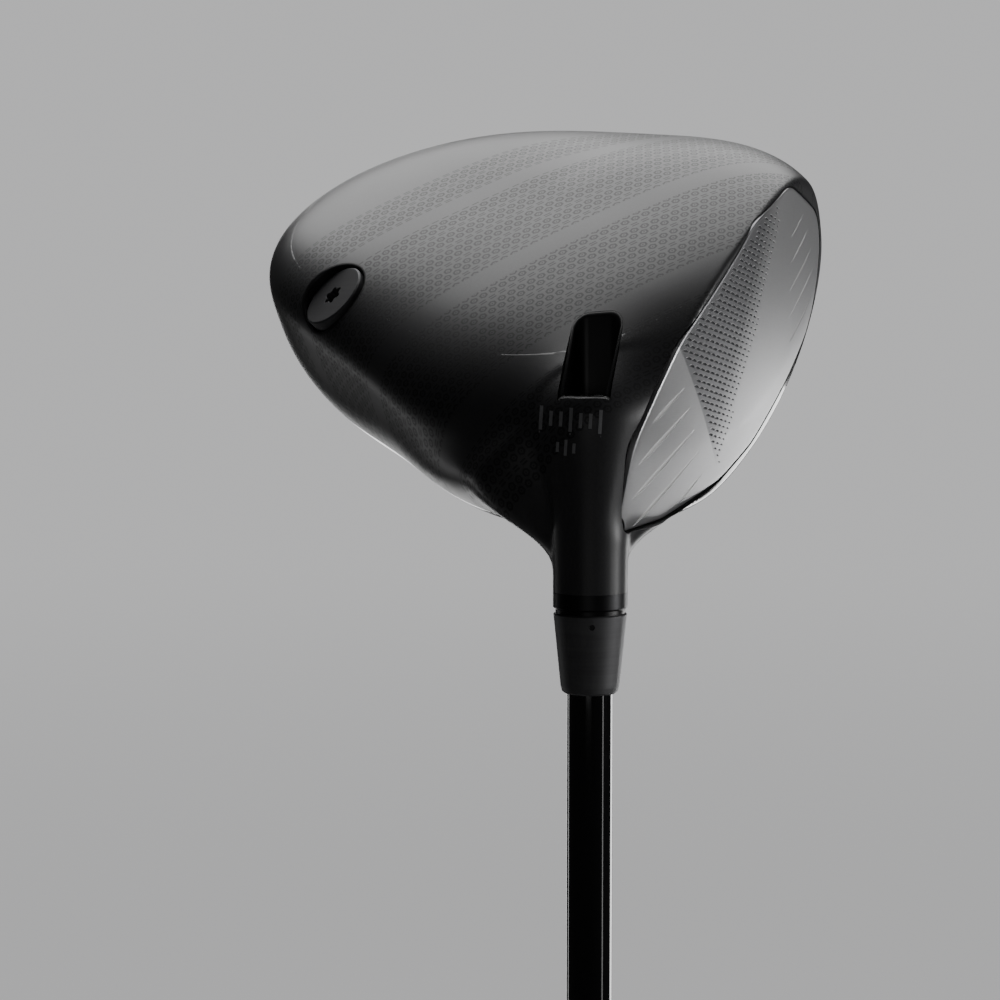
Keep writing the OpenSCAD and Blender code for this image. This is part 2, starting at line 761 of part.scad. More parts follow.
module grip_cap() color([0.08, 0.08, 0.08])
    difference() {
        union() {
            cylinder(r1 = cap_r - 0.7, r2 = cap_r, h = 0.7, $fn = 64);
            translate([0, 0, 0.7 - eps]) cylinder(r = cap_r, h = 1.3 + eps, $fn = 64);
            translate([0, 0, 1.9]) cylinder(r = cap_plug_r, h = 2, $fn = 64);
        }
        // vent hole
        translate([0, 0, -1]) cylinder(r = 1.6, h = 10, $fn = 32);
        // shallow ring on the end face
        translate([0, 0, -0.4]) difference() {
            cylinder(r = 9.6, h = 0.8, $fn = 64);
            translate([0, 0, -1]) cylinder(r = 8.8, h = 3, $fn = 64);
        }
    }

head_body();
crown_shell();
crown_bond();
sole_shell();
sole_bond();
face_plate();
face_weld();
hosel_tube();
screw_well();
screw_washer();
hosel_screw();
weight_port();
weight_seal();
rear_weight();
damping_pad();
adapter_sleeve();
hosel_ring();
ferrule();
ferrule_dot();
shaft();
shaft_plug();
shaft_bond();
grip_tape();
grip();
grip_cap();
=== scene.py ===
"""A golf driver standing on its grip, with the head at the top and the sole facing up.

Row frame: metres, +Z up, grip end at the origin, shaft axis along Z.
Head frame: millimetres (toe, fore, rise), where toe points toe-ward, fore is forward out of
the face and rise points crown-ward. Its origin is where the shaft axis meets the sole plane.
Fore is row +X, and toe-ward lies mostly along row +Y.
The loaded pieces get materials, and detailed meshes take the place of the head's outer ones.
"""
import math

import bmesh
import bpy
import numpy as np
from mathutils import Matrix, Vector


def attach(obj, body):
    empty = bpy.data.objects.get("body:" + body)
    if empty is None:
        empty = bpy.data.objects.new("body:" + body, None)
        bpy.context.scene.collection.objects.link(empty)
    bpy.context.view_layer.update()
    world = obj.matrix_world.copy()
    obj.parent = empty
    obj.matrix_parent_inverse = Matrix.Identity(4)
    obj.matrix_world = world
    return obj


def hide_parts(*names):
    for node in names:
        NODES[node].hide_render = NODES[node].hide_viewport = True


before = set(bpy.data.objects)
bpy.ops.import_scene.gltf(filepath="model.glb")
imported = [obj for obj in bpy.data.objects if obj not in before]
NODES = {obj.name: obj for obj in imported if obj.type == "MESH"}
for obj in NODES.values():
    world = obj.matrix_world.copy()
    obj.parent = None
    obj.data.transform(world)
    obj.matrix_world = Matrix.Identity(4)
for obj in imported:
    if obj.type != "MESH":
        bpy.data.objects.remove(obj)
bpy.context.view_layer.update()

# ------------------------------------------------------------------ frames
CLUB_LENGTH = 1155.7
LIE = math.radians(58.0)
LIE_COS, LIE_SIN = math.cos(LIE), math.sin(LIE)
AXIS = np.array([-LIE_COS, 0.0, LIE_SIN])       # along the shaft towards the grip
SIDE_FORE = np.array([0.0, 1.0, 0.0])           # the two directions across the shaft
SIDE_TOE = np.array([LIE_SIN, 0.0, LIE_COS])


def to_row(points):
    points = np.asarray(points, float)
    toe, fore, rise = points[..., 0], points[..., 1], points[..., 2]
    return np.stack([fore, LIE_SIN * toe + LIE_COS * rise,
                     CLUB_LENGTH + LIE_COS * toe - LIE_SIN * rise], -1) / 1000.0


def to_head(points):
    points = np.asarray(points, float) * 1000.0
    x, y, z = points[..., 0], points[..., 1], points[..., 2] - CLUB_LENGTH
    return np.stack([LIE_SIN * y + LIE_COS * z, x, LIE_COS * y - LIE_SIN * z], -1)


# ------------------------------------------------------------------ head form
PLAN_TOE, PLAN_FORE = 43.4, -29.6               # centre of the plan outline
CROWN_TOP = 60.9
# values evenly spaced in angle round the plan centre, from toe-ward through forward
PLAN_RADII = [61, 57.3, 56.8, 63, 57.6, 52.2, 68.9, 66.7]
SKIRT_HEIGHTS = [33.9, 28.1, 19.0, 19.6]
SOLE_POWERS = [2.22, 3.6, 2.38, 4.08]           # roundness of the section below the skirt
CROWN_POWER = 2.21                              # and above it

LOFT = math.radians(9.5)
FACE_RADIUS = 305.0                             # the face is part of a large ball
FACE_POINT = np.array([43.0, 14.45, 23.5])
FACE_CENTRE = FACE_POINT - FACE_RADIUS * np.array([0.0, math.cos(LOFT), math.sin(LOFT)])

NECK_RADIUS = 6.9
NECK_SPAN = (20, 70)                            # stations on the shaft axis
FLARE_TOP = 48
FLARE_LIMIT = 13
FLARE_TURN = math.radians(125)                  # side of the neck where the flare is widest
NECK_BLEND = 20.0
RIM_BLEND = 1.5


def wave(values, angle):
    """Smooth periodic curve through evenly spaced values."""
    count = len(values)
    total = 0.0
    for j, value in enumerate(values):
        turn = angle - 2 * math.pi * j / count
        weight = 1.0 + np.cos(count / 2 * turn)
        for harmonic in range(1, count // 2):
            weight = weight + 2 * np.cos(harmonic * turn)
        total = total + value * weight / count
    return total


def smooth_step(value):
    value = np.clip(value, 0, 1)
    return value * value * (3 - 2 * value)


def smooth_min(first, second, blend):
    overlap = np.maximum(blend - np.abs(first - second), 0) / blend
    return np.minimum(first, second) - overlap ** 3 * blend / 6


def smooth_max(first, second, blend):
    return -smooth_min(-first, -second, blend)


def plan_terms(toe, fore):
    """Radius from the plan centre, then plan radius, skirt height and sole power there."""
    angle = np.arctan2(fore - PLAN_FORE, toe - PLAN_TOE)
    return (np.hypot(toe - PLAN_TOE, fore - PLAN_FORE), wave(PLAN_RADII, angle),
            wave(SKIRT_HEIGHTS, angle), wave(SOLE_POWERS, angle))


def body_distance(rise, terms):
    radius, plan_radius, skirt, sole_power = terms
    over = rise - skirt
    above = over >= 0
    power = np.where(above, CROWN_POWER, sole_power)
    height = np.where(above, CROWN_TOP - skirt, skirt)
    reach = ((radius / plan_radius) ** power + (np.abs(over) / height) ** power) ** (1 / power)
    return np.sqrt(radius * radius + over * over) * (1 - 1 / np.maximum(reach, 1e-3))


def axis_terms(toe, fore, rise):
    """Station along the shaft, the two offsets across it, and the radius from it."""
    along = toe * AXIS[0] + rise * AXIS[2]
    across = toe * SIDE_TOE[0] + rise * SIDE_TOE[2]
    return along, fore, across, np.hypot(fore, across)


def neck_distance(along, fore, across):
    station = np.clip(along, *NECK_SPAN)
    radius = np.sqrt(fore * fore + across * across + (along - station) ** 2)
    angle = np.arctan2(across, fore)
    growth = 0.1 * smooth_step((np.cos(angle - FLARE_TURN) + 0.1) / 0.6)
    below = np.maximum(0, FLARE_TOP - station)
    flare = (FLARE_LIMIT * np.tanh(growth * below * below / FLARE_LIMIT)
             * smooth_step((station - 18) / 14))
    return (radius - NECK_RADIUS - flare) / (1 + 0.12 * flare)


def head_field(toe, fore, rise, terms, rim):
    """Roughly the distance outside the head; negative inside."""
    along, _, across, axis_radius = axis_terms(toe, fore, rise)
    form = smooth_min(body_distance(rise, terms), neck_distance(along, fore, across), NECK_BLEND)
    ball = np.sqrt((toe - FACE_CENTRE[0]) ** 2 + (fore - FACE_CENTRE[1]) ** 2
                   + (rise - FACE_CENTRE[2]) ** 2) - FACE_RADIUS
    # the ball trims the form, but not beyond a slanted heel plane nor round the neck
    heel = 0.464 * (toe + 21.4) - 0.885 * (rise - 34.8)
    trim = smooth_min(smooth_min(ball, heel, 9.0), axis_radius - NECK_RADIUS + 0.4, 3.0)
    return smooth_max(form, trim, rim)


def skin_value(points, rim=RIM_BLEND):
    points = np.asarray(points, float)
    toe, fore, rise = points[..., 0], points[..., 1], points[..., 2]
    return head_field(toe, fore, rise, plan_terms(toe, fore), rim)


def skin_grid(toe, fore, rise):
    """skin_value on a grid given by its three axes."""
    plan = plan_terms(*np.meshgrid(toe, fore, indexing="ij"))
    terms = [term[:, :, None] for term in plan]
    return head_field(toe[:, None, None], fore[None, :, None], rise[None, None, :],
                      terms, RIM_BLEND)


def gradient(points, value_at, step=0.02):
    slope = np.empty_like(points)
    for i in range(3):
        shift = np.zeros(3)
        shift[i] = step
        slope[..., i] = (value_at(points + shift) - value_at(points - shift)) / (2 * step)
    return slope


# ------------------------------------------------------------------ surface nets
def edge_ends(grid, axis):
    """The grid's values at the start and at the end of every edge along an axis."""
    starts, ends = [slice(None)] * 3, [slice(None)] * 3
    starts[axis], ends[axis] = slice(0, -1), slice(1, None)
    return grid[tuple(starts)], grid[tuple(ends)]


def surface_net(low, high, cell, grid_values, value_at, steps=3):
    """Closed quad surface where value_at is 0, inside the box from low to high."""
    low, high = np.asarray(low, float), np.asarray(high, float)
    counts = np.ceil((high - low) / cell).astype(int) + 1
    values = grid_values(*[low[i] + cell * np.arange(counts[i]) for i in range(3)])
    values = values.astype(np.float32)
    values[[0, -1]] = 1
    values[:, [0, -1]] = 1
    values[:, :, [0, -1]] = 1
    values[np.abs(values) < 1e-5] = 1e-5

    # one point per crossed cell, at the mean of its edge crossings
    cells = counts - 1
    hits = np.zeros(cells, np.float32)
    place = np.zeros((3, *cells), np.float32)
    for axis in range(3):
        start, end = edge_ends(values, axis)
        crossed = (start < 0) != (end < 0)
        part = np.where(crossed, start / np.where(crossed, start - end, 1), 0)
        part = part.astype(np.float32)
        second, third = [i for i in range(3) if i != axis]
        for j in (0, 1):
            for k in (0, 1):
                window = [slice(None)] * 3
                window[second] = slice(j, j + cells[second])
                window[third] = slice(k, k + cells[third])
                edge = crossed[tuple(window)]
                hits += edge
                place[axis] += part[tuple(window)]
                place[second] += edge * j
                place[third] += edge * k
    active = hits > 0
    ids = np.full(cells, -1, np.int64)
    ids[active] = np.arange(active.sum())
    offset = np.stack([place[i][active] / hits[active] for i in range(3)], 1)
    points = low + cell * (np.argwhere(active) + offset)

    # one quad per crossed edge
    inside = values < 0
    quads = []
    for axis in range(3):
        start, end = edge_ends(inside, axis)
        edges = np.argwhere(start != end)
        leaving = start[tuple(edges.T)]
        corners = []
        for j, k in ((-1, -1), (0, -1), (0, 0), (-1, 0)):
            corner = edges.copy()
            corner[:, (axis + 1) % 3] += j
            corner[:, (axis + 2) % 3] += k
            corners.append(ids[tuple(corner.T)])
        quad = np.stack(corners, 1)
        quad[~leaving] = quad[~leaving][:, ::-1]
        quads.append(quad)

    # draw the points onto the surface
    for _ in range(steps):
        value = value_at(points)
        slope = gradient(points, value_at)
        step = (value / np.maximum((slope * slope).sum(1), 0.05))[:, None] * slope
        length = np.linalg.norm(step, axis=1, keepdims=True)
        points = points - step * np.minimum(1, 0.6 * cell / np.maximum(length, 1e-9))
    return points, np.concatenate(quads)


# ------------------------------------------------------------------ mesh helpers
def mesh_object(name, points, faces, material=None, smooth=True, in_head=True):
    mesh = bpy.data.meshes.new(name)
    points = to_row(points) if in_head else np.asarray(points, float)
    mesh.from_pydata(points.tolist(), [], [tuple(int(i) for i in face) for face in faces])
    mesh.validate()
    mesh.update()
    piece = bpy.data.objects.new(name, mesh)
    bpy.context.scene.collection.objects.link(piece)
    if smooth:
        mesh.shade_smooth()
    if material is not None:
        mesh.materials.append(material)
    return piece


def merge_close(piece, distance=2e-6):
    shape = bmesh.new()
    shape.from_mesh(piece.data)
    bmesh.ops.remove_doubles(shape, verts=shape.verts, dist=distance)
    bmesh.ops.dissolve_degenerate(shape, edges=shape.edges, dist=distance)
    bmesh.ops.recalc_face_normals(shape, faces=shape.faces)
    shape.to_mesh(piece.data)
    shape.free()


def make_cutter(name, points, faces):
    cutter = mesh_object(name, points, faces, smooth=False)
    merge_close(cutter)
    return cutter


def boolean(piece, cutter, operation="DIFFERENCE"):
    """Applies a boolean, keeps the result as the piece's own mesh and drops the cutter."""
    for solver in ("MANIFOLD", "EXACT"):
        modifier = piece.modifiers.new("cut", "BOOLEAN")
        modifier.operation, modifier.object = operation, cutter
        modifier.solver = solver
        depsgraph = bpy.context.evaluated_depsgraph_get()
        result = bpy.data.meshes.new_from_object(piece.evaluated_get(depsgraph))
        piece.modifiers.remove(modifier)
        # a nearly empty result means this solver failed
        if len(result.polygons) > 8:
            break
    else:
        raise RuntimeError("boolean failed on " + piece.name)
    old = piece.data
    piece.data = result
    result.name = piece.name
    bpy.data.meshes.remove(old)
    bpy.data.objects.remove(cutter)


def copy_object(piece, name):
    twin = bpy.data.objects.new(name, piece.data.copy())
    twin.data.name = name
    bpy.context.scene.collection.objects.link(twin)
    return twin


def loft(rings, caps=True):
    """Points and faces of a tube through rings of equal length, listed from start to end."""
    count = len(rings[0])
    faces = []
    for ring in range(len(rings) - 1):
        for i in range(count):
            j = (i + 1) % count
            faces.append((ring * count + i, ring * count + j,
                          (ring + 1) * count + j, (ring + 1) * count + i))
    if caps:
        faces.append(tuple(reversed(range(count))))
        faces.append(tuple((len(rings) - 1) * count + i for i in range(count)))
    return np.vstack(rings), faces


def join_parts(parts):
    """Points and faces of several (points, faces) parts as one set."""
    points, faces, start = [], [], 0
    for part_points, part_faces in parts:
        points.append(part_points)
        faces += [tuple(start + i for i in face) for face in part_faces]
        start += len(part_points)
    return np.vstack(points), faces


def finish_mesh(piece, sharp_degrees):
    piece.data.shade_smooth()
    piece.data.set_sharp_from_angle(angle=math.radians(sharp_degrees))
    piece.data.update()


def axis_point(fore, across, station):
    """Head-frame points from offsets across the shaft and a station along it."""
    return (np.asarray(station)[..., None] * AXIS + np.asarray(fore)[..., None] * SIDE_FORE
            + np.asarray(across)[..., None] * SIDE_TOE)


def cut_cylinder(piece, name, radius, low, high, count=96):
    """Cuts a cylinder round the shaft axis, between two stations, out of a piece."""
    angle = np.linspace(0, 2 * math.pi, count, endpoint=False)
    rings = [axis_point(radius * np.cos(angle), radius * np.sin(angle), np.full(count, station))
             for station in (low, high)]
    boolean(piece, make_cutter(name, *loft(rings)))


# ------------------------------------------------------------------ material helpers
UNARY = ("SINE", "ABSOLUTE", "FRACT", "FLOOR")


def shade(colour, factor):
    return tuple(min(1, c * factor) for c in colour)


class Shader:
    """A node material with a Principled surface and short calls for building graphs."""

    def __init__(self, name, colour, rough, metal=0.0, specular=0.5):
        self.material = bpy.data.materials.new(name)
        self.material.use_nodes = True
        self.tree = self.material.node_tree
        self.surface = self.tree.nodes["Principled BSDF"]
        self.set("Base Color", (*colour, 1))
        self.set("Roughness", rough)
        self.set("Metallic", metal)
        self.set("Specular IOR Level", specular)
        self.material.diffuse_color = (*colour, 1)

    def set(self, key, value):
        """Sets or links an input of the surface."""
        self.put(self.surface.inputs[key], value)

    def node(self, kind, **settings):
        node = self.tree.nodes.new(kind)
        for key, value in settings.items():
            setattr(node, key, value)
        return node

    def put(self, socket, value):
        if isinstance(value, bpy.types.NodeSocket):
            self.tree.links.new(value, socket)
        else:
            socket.default_value = value

    def math(self, operation, first, second=0.0, third=None, clamp=False):
        node = self.node("ShaderNodeMath", operation=operation, use_clamp=clamp)
        self.put(node.inputs[0], first)
        if operation not in UNARY:
            self.put(node.inputs[1], second)
        if third is not None:
            self.put(node.inputs[2], third)
        return node.outputs[0]

    def add(self, first, second):
        return self.math("ADD", first, second)

    def sub(self, first, second):
        return self.math("SUBTRACT", first, second)

    def mul(self, first, second):
        return self.math("MULTIPLY", first, second)

    def inverse(self, value, clamp=True):
        return self.math("SUBTRACT", 1.0, value, clamp=clamp)

    def position(self):
        return self.node("ShaderNodeTexCoord").outputs["Object"]

    def split(self, vector):
        node = self.node("ShaderNodeSeparateXYZ")
        self.put(node.inputs[0], vector)
        return node.outputs

    def scaled(self, vector, scale, rotation=None):
        node = self.node("ShaderNodeMapping")
        self.put(node.inputs["Vector"], vector)
        node.inputs["Scale"].default_value = scale
        if rotation:
            node.inputs["Rotation"].default_value = rotation
        return node.outputs[0]

    def noise(self, vector, scale, detail=2.0, rough=0.5):
        node = self.node("ShaderNodeTexNoise")
        self.put(node.inputs["Vector"], vector)
        node.inputs["Scale"].default_value = scale
        node.inputs["Detail"].default_value = detail
        node.inputs["Roughness"].default_value = rough
        return node.outputs["Fac"]

    def voronoi(self, vector, scale, output="Distance"):
        node = self.node("ShaderNodeTexVoronoi")
        self.put(node.inputs["Vector"], vector)
        node.inputs["Scale"].default_value = scale
        return node.outputs[output]

    def ramp(self, value, start, end, low=0.0, high=1.0):
        """Smooth step from low at start to high at end."""
        node = self.node("ShaderNodeMapRange", interpolation_type="SMOOTHSTEP")
        self.put(node.inputs["Value"], value)
        node.inputs["From Min"].default_value = start
        node.inputs["From Max"].default_value = end
        node.inputs["To Min"].default_value = low
        node.inputs["To Max"].default_value = high
        return node.outputs["Result"]

    def near(self, value, centre, start, end):
        """1 within start of a centre value, fading to 0 at end."""
        return self.inverse(self.ramp(self.math("ABSOLUTE", self.sub(value, centre)), start, end))

    def mix(self, factor, first, second):
        node = self.node("ShaderNodeMix", data_type="RGBA")
        self.put(node.inputs[0], factor)
        for socket, value in ((node.inputs[6], first), (node.inputs[7], second)):
            self.put(socket, (*value, 1) if isinstance(value, tuple) else value)
        return node.outputs[2]

    def bump(self, height, strength, distance, normal=None):
        node = self.node("ShaderNodeBump")
        node.inputs["Strength"].default_value = strength
        node.inputs["Distance"].default_value = distance
        self.put(node.inputs["Height"], height)
        if normal is not None:
            self.put(node.inputs["Normal"], normal)
        self.set("Normal", node.outputs[0])

    def soft_edge(self, radius=0.00025):
        """Normal that rounds every edge, for the highlights a real edge catches."""
        node = self.node("ShaderNodeBevel", samples=6)
        node.inputs["Radius"].default_value = radius
        return node.outputs[0]

    def varied_roughness(self, base, pattern, amount):
        self.set("Roughness", self.add(base, self.mul(pattern, amount)))

    def coat(self, weight, rough):
        self.set("Coat Weight", weight)
        self.set("Coat Roughness", rough)


# ------------------------------------------------------------------ printed pattern
PRINT_BANDS = [(-23.6, 7.15), (2.05, 13.3), (33.85, 12.3), (64.6, 9.2)]  # centre, half width
PRINT_ANGLE = math.radians(40.0)
PRINT_PITCH = (2.35, 2.05)                      # along and across the bands


def pattern_mask(shader):
    """Four diagonal bands of small open hexagons and bars, in flattened head millimetres."""
    flat = shader.node("ShaderNodeAttribute", attribute_name="flat").outputs["Vector"]
    along, across, _ = shader.split(flat)
    pitch_along, pitch_across = PRINT_PITCH
    row = shader.math("FLOOR", shader.math("DIVIDE", across, pitch_across))
    odd = shader.math("MODULO", shader.math("ABSOLUTE", row), 2.0)
    column = shader.add(shader.math("DIVIDE", along, pitch_along), shader.mul(odd, 0.5))

    def from_centre(count, pitch):
        part = shader.sub(shader.math("FRACT", count), 0.5)
        return shader.math("ABSOLUTE", shader.mul(part, pitch))

    cell_x = from_centre(column, pitch_along)
    cell_y = from_centre(shader.math("DIVIDE", across, pitch_across), pitch_across)
    slanted = shader.add(shader.mul(cell_x, 0.5), shader.mul(cell_y, 0.866))
    hexagon = shader.math("MAXIMUM", cell_x, slanted)
    ring = shader.near(hexagon, centre=0.66, start=0.17, end=0.25)
    core = shader.inverse(shader.ramp(hexagon, start=0.14, end=0.22))
    bar = shader.mul(shader.near(cell_y, centre=0.36, start=0.15, end=0.22),
                     shader.inverse(shader.ramp(cell_x, start=0.72, end=0.80)))
    # every third row has bars, the others hexagons
    third = shader.math("COMPARE", shader.math("MODULO", shader.math("ABSOLUTE", row), 3.0),
                        0.0, 0.1)
    mark = shader.add(shader.mul(third, bar),
                      shader.mul(shader.inverse(third, clamp=False),
                                 shader.math("MAXIMUM", ring, core)))
    bands = None
    for centre, half in PRINT_BANDS:
        band = shader.near(across, centre, start=half - 0.15, end=half + 0.15)
        bands = band if bands is None else shader.math("MAXIMUM", bands, band)
    return shader.math("MULTIPLY", mark, bands, clamp=True)


def flat_coords(piece):
    """Flattened head coordinates as an attribute, so print keeps its scale round the skirt."""
    coords = np.empty(len(piece.data.vertices) * 3)
    piece.data.vertices.foreach_get("co", coords)
    toe, fore, rise = to_head(coords.reshape(-1, 3)).T
    radius = np.hypot(toe - PLAN_TOE, fore - PLAN_FORE)
    angle = np.arctan2(fore - PLAN_FORE, toe - PLAN_TOE)
    length = radius + 0.8 * np.maximum(rise, 0)
    flat_toe, flat_fore = length * np.cos(angle), length * np.sin(angle)
    cos, sin = math.cos(PRINT_ANGLE), math.sin(PRINT_ANGLE)
    flat = np.stack([cos * flat_toe + sin * flat_fore, -sin * flat_toe + cos * flat_fore, rise], 1)
    attribute = piece.data.attributes.new("flat", "FLOAT_VECTOR", "POINT")
    attribute.data.foreach_set("vector", flat.astype(np.float32).ravel())


# ------------------------------------------------------------------ materials
# etched field on the face as (toe, rise); from the third point round to the first it fades out
ETCH_FIELD = np.array([(57.5, 6.5), (3.5, 6.5), (16.4, 45.6), (24.3, 36.2), (32.2, 29.4),
                       (47.2, 15.2)])


def satin_black(name, base, rough, pattern=False):
    """Satin paint with a fine flake, and either slight orange peel or tone-on-tone print."""
    shader = Shader(name, base, rough)
    position = shader.position()
    flake = shader.node("ShaderNodeSeparateColor")
    shader.put(flake.inputs[0], shader.voronoi(position, scale=5200.0, output="Color"))
    cloud = shader.noise(position, scale=38.0, detail=3.0, rough=0.55)
    fleck = shader.math("MULTIPLY_ADD", flake.outputs[0], 0.30, shader.mul(cloud, 0.35))
    colour = shader.mix(shader.mul(fleck, 0.9), base, shade(base, 2.1))
    roughness = shader.add(shader.mul(cloud, 0.10), rough - 0.05)
    if pattern:
        mask = pattern_mask(shader)
        colour = shader.mix(shader.mul(mask, 0.95), colour, shade(base, 0.36))
        roughness = shader.add(roughness, shader.mul(mask, 0.16))
        height = shader.sub(shader.mul(cloud, 0.2), shader.mul(mask, 0.5))
        shader.bump(height, strength=0.10, distance=0.00006)
    else:
        peel = shader.noise(position, scale=900.0)
        shader.bump(peel, strength=0.05, distance=0.00004, normal=shader.soft_edge())
    shader.set("Base Color", colour)
    shader.set("Roughness", roughness)
    shader.coat(weight=0.25, rough=0.28)
    return shader.material


def crown_paint():
    """Clear-coated gloss black over faint diagonal tows."""
    shader = Shader("crown_gloss", (0.006, 0.006, 0.0065), rough=0.16)
    position = shader.position()
    peel = shader.noise(position, scale=260.0)
    bands = shader.node("ShaderNodeTexWave", wave_type="BANDS", bands_direction="DIAGONAL")
    shader.put(bands.inputs["Vector"], position)
    bands.inputs["Scale"].default_value = 330.0
    bands.inputs["Distortion"].default_value = 0.5
    tow = shader.mul(shader.ramp(bands.outputs["Fac"], start=0.2, end=0.8),
                     shader.noise(position, scale=60.0))
    shader.set("Base Color", shader.mix(tow, (0.004, 0.004, 0.0045), (0.018, 0.018, 0.019)))
    shader.varied_roughness(0.12, peel, 0.09)
    shader.bump(peel, strength=0.05, distance=0.00005)
    shader.coat(weight=1.0, rough=0.06)
    return shader.material


def etch_zone(shader, position):
    """Mask over the etched field, fading towards the crown and toe."""
    _, y, z = shader.split(position)
    height = shader.sub(z, CLUB_LENGTH / 1000.0)
    toe = shader.mul(shader.add(shader.mul(y, LIE_SIN), shader.mul(height, LIE_COS)), 1000.0)
    rise = shader.mul(shader.sub(shader.mul(y, LIE_COS), shader.mul(height, LIE_SIN)), 1000.0)

    def from_line(operation, point, toe_part, rise_part):
        """Distance in mm past a line through a (toe, rise) point."""
        return shader.math(operation, shader.mul(shader.sub(toe, float(point[0])), toe_part),
                           shader.mul(shader.sub(rise, float(point[1])), rise_part))

    heel_edge = from_line("SUBTRACT", (3.0, 6.5), toe_part=0.9497, rise_part=0.3133)
    far_edge = from_line("ADD", ETCH_FIELD[2], toe_part=0.689, rise_part=0.7247)
    return shader.mul(shader.ramp(heel_edge, start=-0.3, end=0.3),
                      shader.inverse(shader.ramp(far_edge, start=-11.0, end=0.5)))


def face_metal():
    """Brushed metal, with a darker blasted ground under the etched field."""
    shader = Shader("face_brushed", (0.62, 0.62, 0.63), rough=0.38, metal=1.0)
    position = shader.position()
    tilt = (math.radians(32), 0, 0)
    line = shader.noise(shader.scaled(position, (400.0, 420.0, 9000.0), tilt),
                        scale=1.0, detail=4.0, rough=0.65)
    fine = shader.noise(shader.scaled(position, (400.0, 9000.0, 300.0), tilt),
                        scale=1.0, detail=3.0, rough=0.6)
    cloud = shader.noise(position, scale=90.0, detail=3.0, rough=0.6)
    brush = shader.add(shader.mul(line, 0.6), shader.mul(fine, 0.4))
    colour = shader.mix(brush, (0.50, 0.50, 0.51), (0.76, 0.76, 0.765))
    colour = shader.mix(shader.mul(cloud, 0.25), colour, (0.56, 0.56, 0.57))
    zone = etch_zone(shader, position)
    colour = shader.mix(shader.mul(zone, 0.9), colour, (0.27, 0.27, 0.28))
    shader.set("Base Color", colour)
    shader.varied_roughness(0.33, brush, 0.12)
    shader.bump(brush, strength=0.07, distance=0.00003, normal=shader.soft_edge(0.00022))
    shader.set("Anisotropic", 0.2)
    return shader.material


def etched():
    shader = Shader("face_etch", (0.05, 0.05, 0.055), rough=0.55, metal=0.6)
    grain = shader.noise(shader.position(), scale=3000.0)
    shader.set("Base Color", shader.mix(grain, (0.045, 0.045, 0.05), (0.10, 0.10, 0.105)))
    shader.varied_roughness(0.5, grain, 0.2)
    return shader.material


def paint(name, colour, rough):
    shader = Shader(name, colour, rough)
    grain = shader.noise(shader.position(), scale=1500.0, detail=3.0)
    shader.set("Base Color", shader.mix(grain, shade(colour, 0.86), shade(colour, 1.08)))
    shader.varied_roughness(rough - 0.05, grain, 0.12)
    shader.bump(grain, strength=0.05, distance=0.00003)
    return shader.material


def turned_metal(name, colour, rough, metal=1.0, scale=2600.0, strength=0.12):
    """Metal with fine rings along the shaft axis and smudges."""
    variation = 0.35
    shader = Shader(name, colour, rough, metal)
    position = shader.position()
    rings = shader.noise(shader.scaled(position, (60.0, 60.0, scale)),
                         scale=1.0, detail=3.0, rough=0.6)
    smudge = shader.noise(position, scale=160.0, detail=3.0, rough=0.6)
    wear = shader.add(shader.mul(rings, 0.6), shader.mul(smudge, 0.4))
    shader.set("Base Color", shader.mix(wear, shade(colour, 1 - variation),
                                        shade(colour, 1 + variation)))
    shader.varied_roughness(rough - 0.06, wear, 0.14)
    shader.bump(rings, strength, distance=0.00003, normal=shader.soft_edge(0.0002))
    return shader.material


def rubber(name, colour, rough, scale=1500.0):
    shader = Shader(name, colour, rough, specular=0.4)
    position = shader.position()
    grain = shader.noise(position, scale, detail=3.0, rough=0.6)
    pebble = shader.voronoi(position, scale * 0.6)
    shader.set("Base Color", shader.mix(grain, shade(colour, 0.7), shade(colour, 1.7)))
    shader.varied_roughness(rough - 0.06, grain, 0.18)
    shader.bump(pebble, strength=0.25, distance=0.0001)
    return shader.material


def grip_rubber():
    """Rubber with a fine crossed texture round the grip, its colour painted darker in the
    texture's low parts as shade.
    """
    turns, pitch = 18.0, 1900.0                 # wave rates round the grip and along it
    shader = Shader("grip_rubber", (0.014, 0.014, 0.0145), rough=0.66, specular=0.35)
    position = shader.position()
    x, y, z = shader.split(position)
    angle = shader.math("ARCTAN2", y, x)
    helices = [shader.math(way, shader.mul(angle, turns), shader.mul(z, pitch))
               for way in ("ADD", "SUBTRACT")]
    cross = shader.mul(*[shader.math("SINE", helix) for helix in helices])
    grain = shader.noise(position, scale=1400.0, detail=3.0, rough=0.6)
    height = shader.add(shader.mul(cross, 0.5), shader.mul(grain, 0.35))
    # colour follows the relief: painted shade in its low parts, plus random grain tone
    shader.set("Base Color", shader.mix(shader.ramp(height, start=-0.3, end=0.6),
                                        (0.007, 0.007, 0.007), (0.026, 0.026, 0.027)))
    shader.varied_roughness(0.58, grain, 0.18)
    shader.bump(height, strength=0.45, distance=0.00025)
    return shader.material


def shaft_paint():
    """Clear-coated gloss black with long faint streaks."""
    shader = Shader("shaft_gloss", (0.004, 0.004, 0.0045), rough=0.10)
    position = shader.position()
    streak = shader.noise(shader.scaled(position, (300.0, 300.0, 12.0)), scale=1.0)
    peel = shader.noise(position, scale=420.0)
    shader.set("Base Color", shader.mix(streak, (0.003, 0.003, 0.0035), (0.009, 0.009, 0.0095)))
    shader.varied_roughness(0.06, peel, 0.08)
    shader.bump(peel, strength=0.03, distance=0.00004)
    shader.coat(weight=1.0, rough=0.04)
    return shader.material


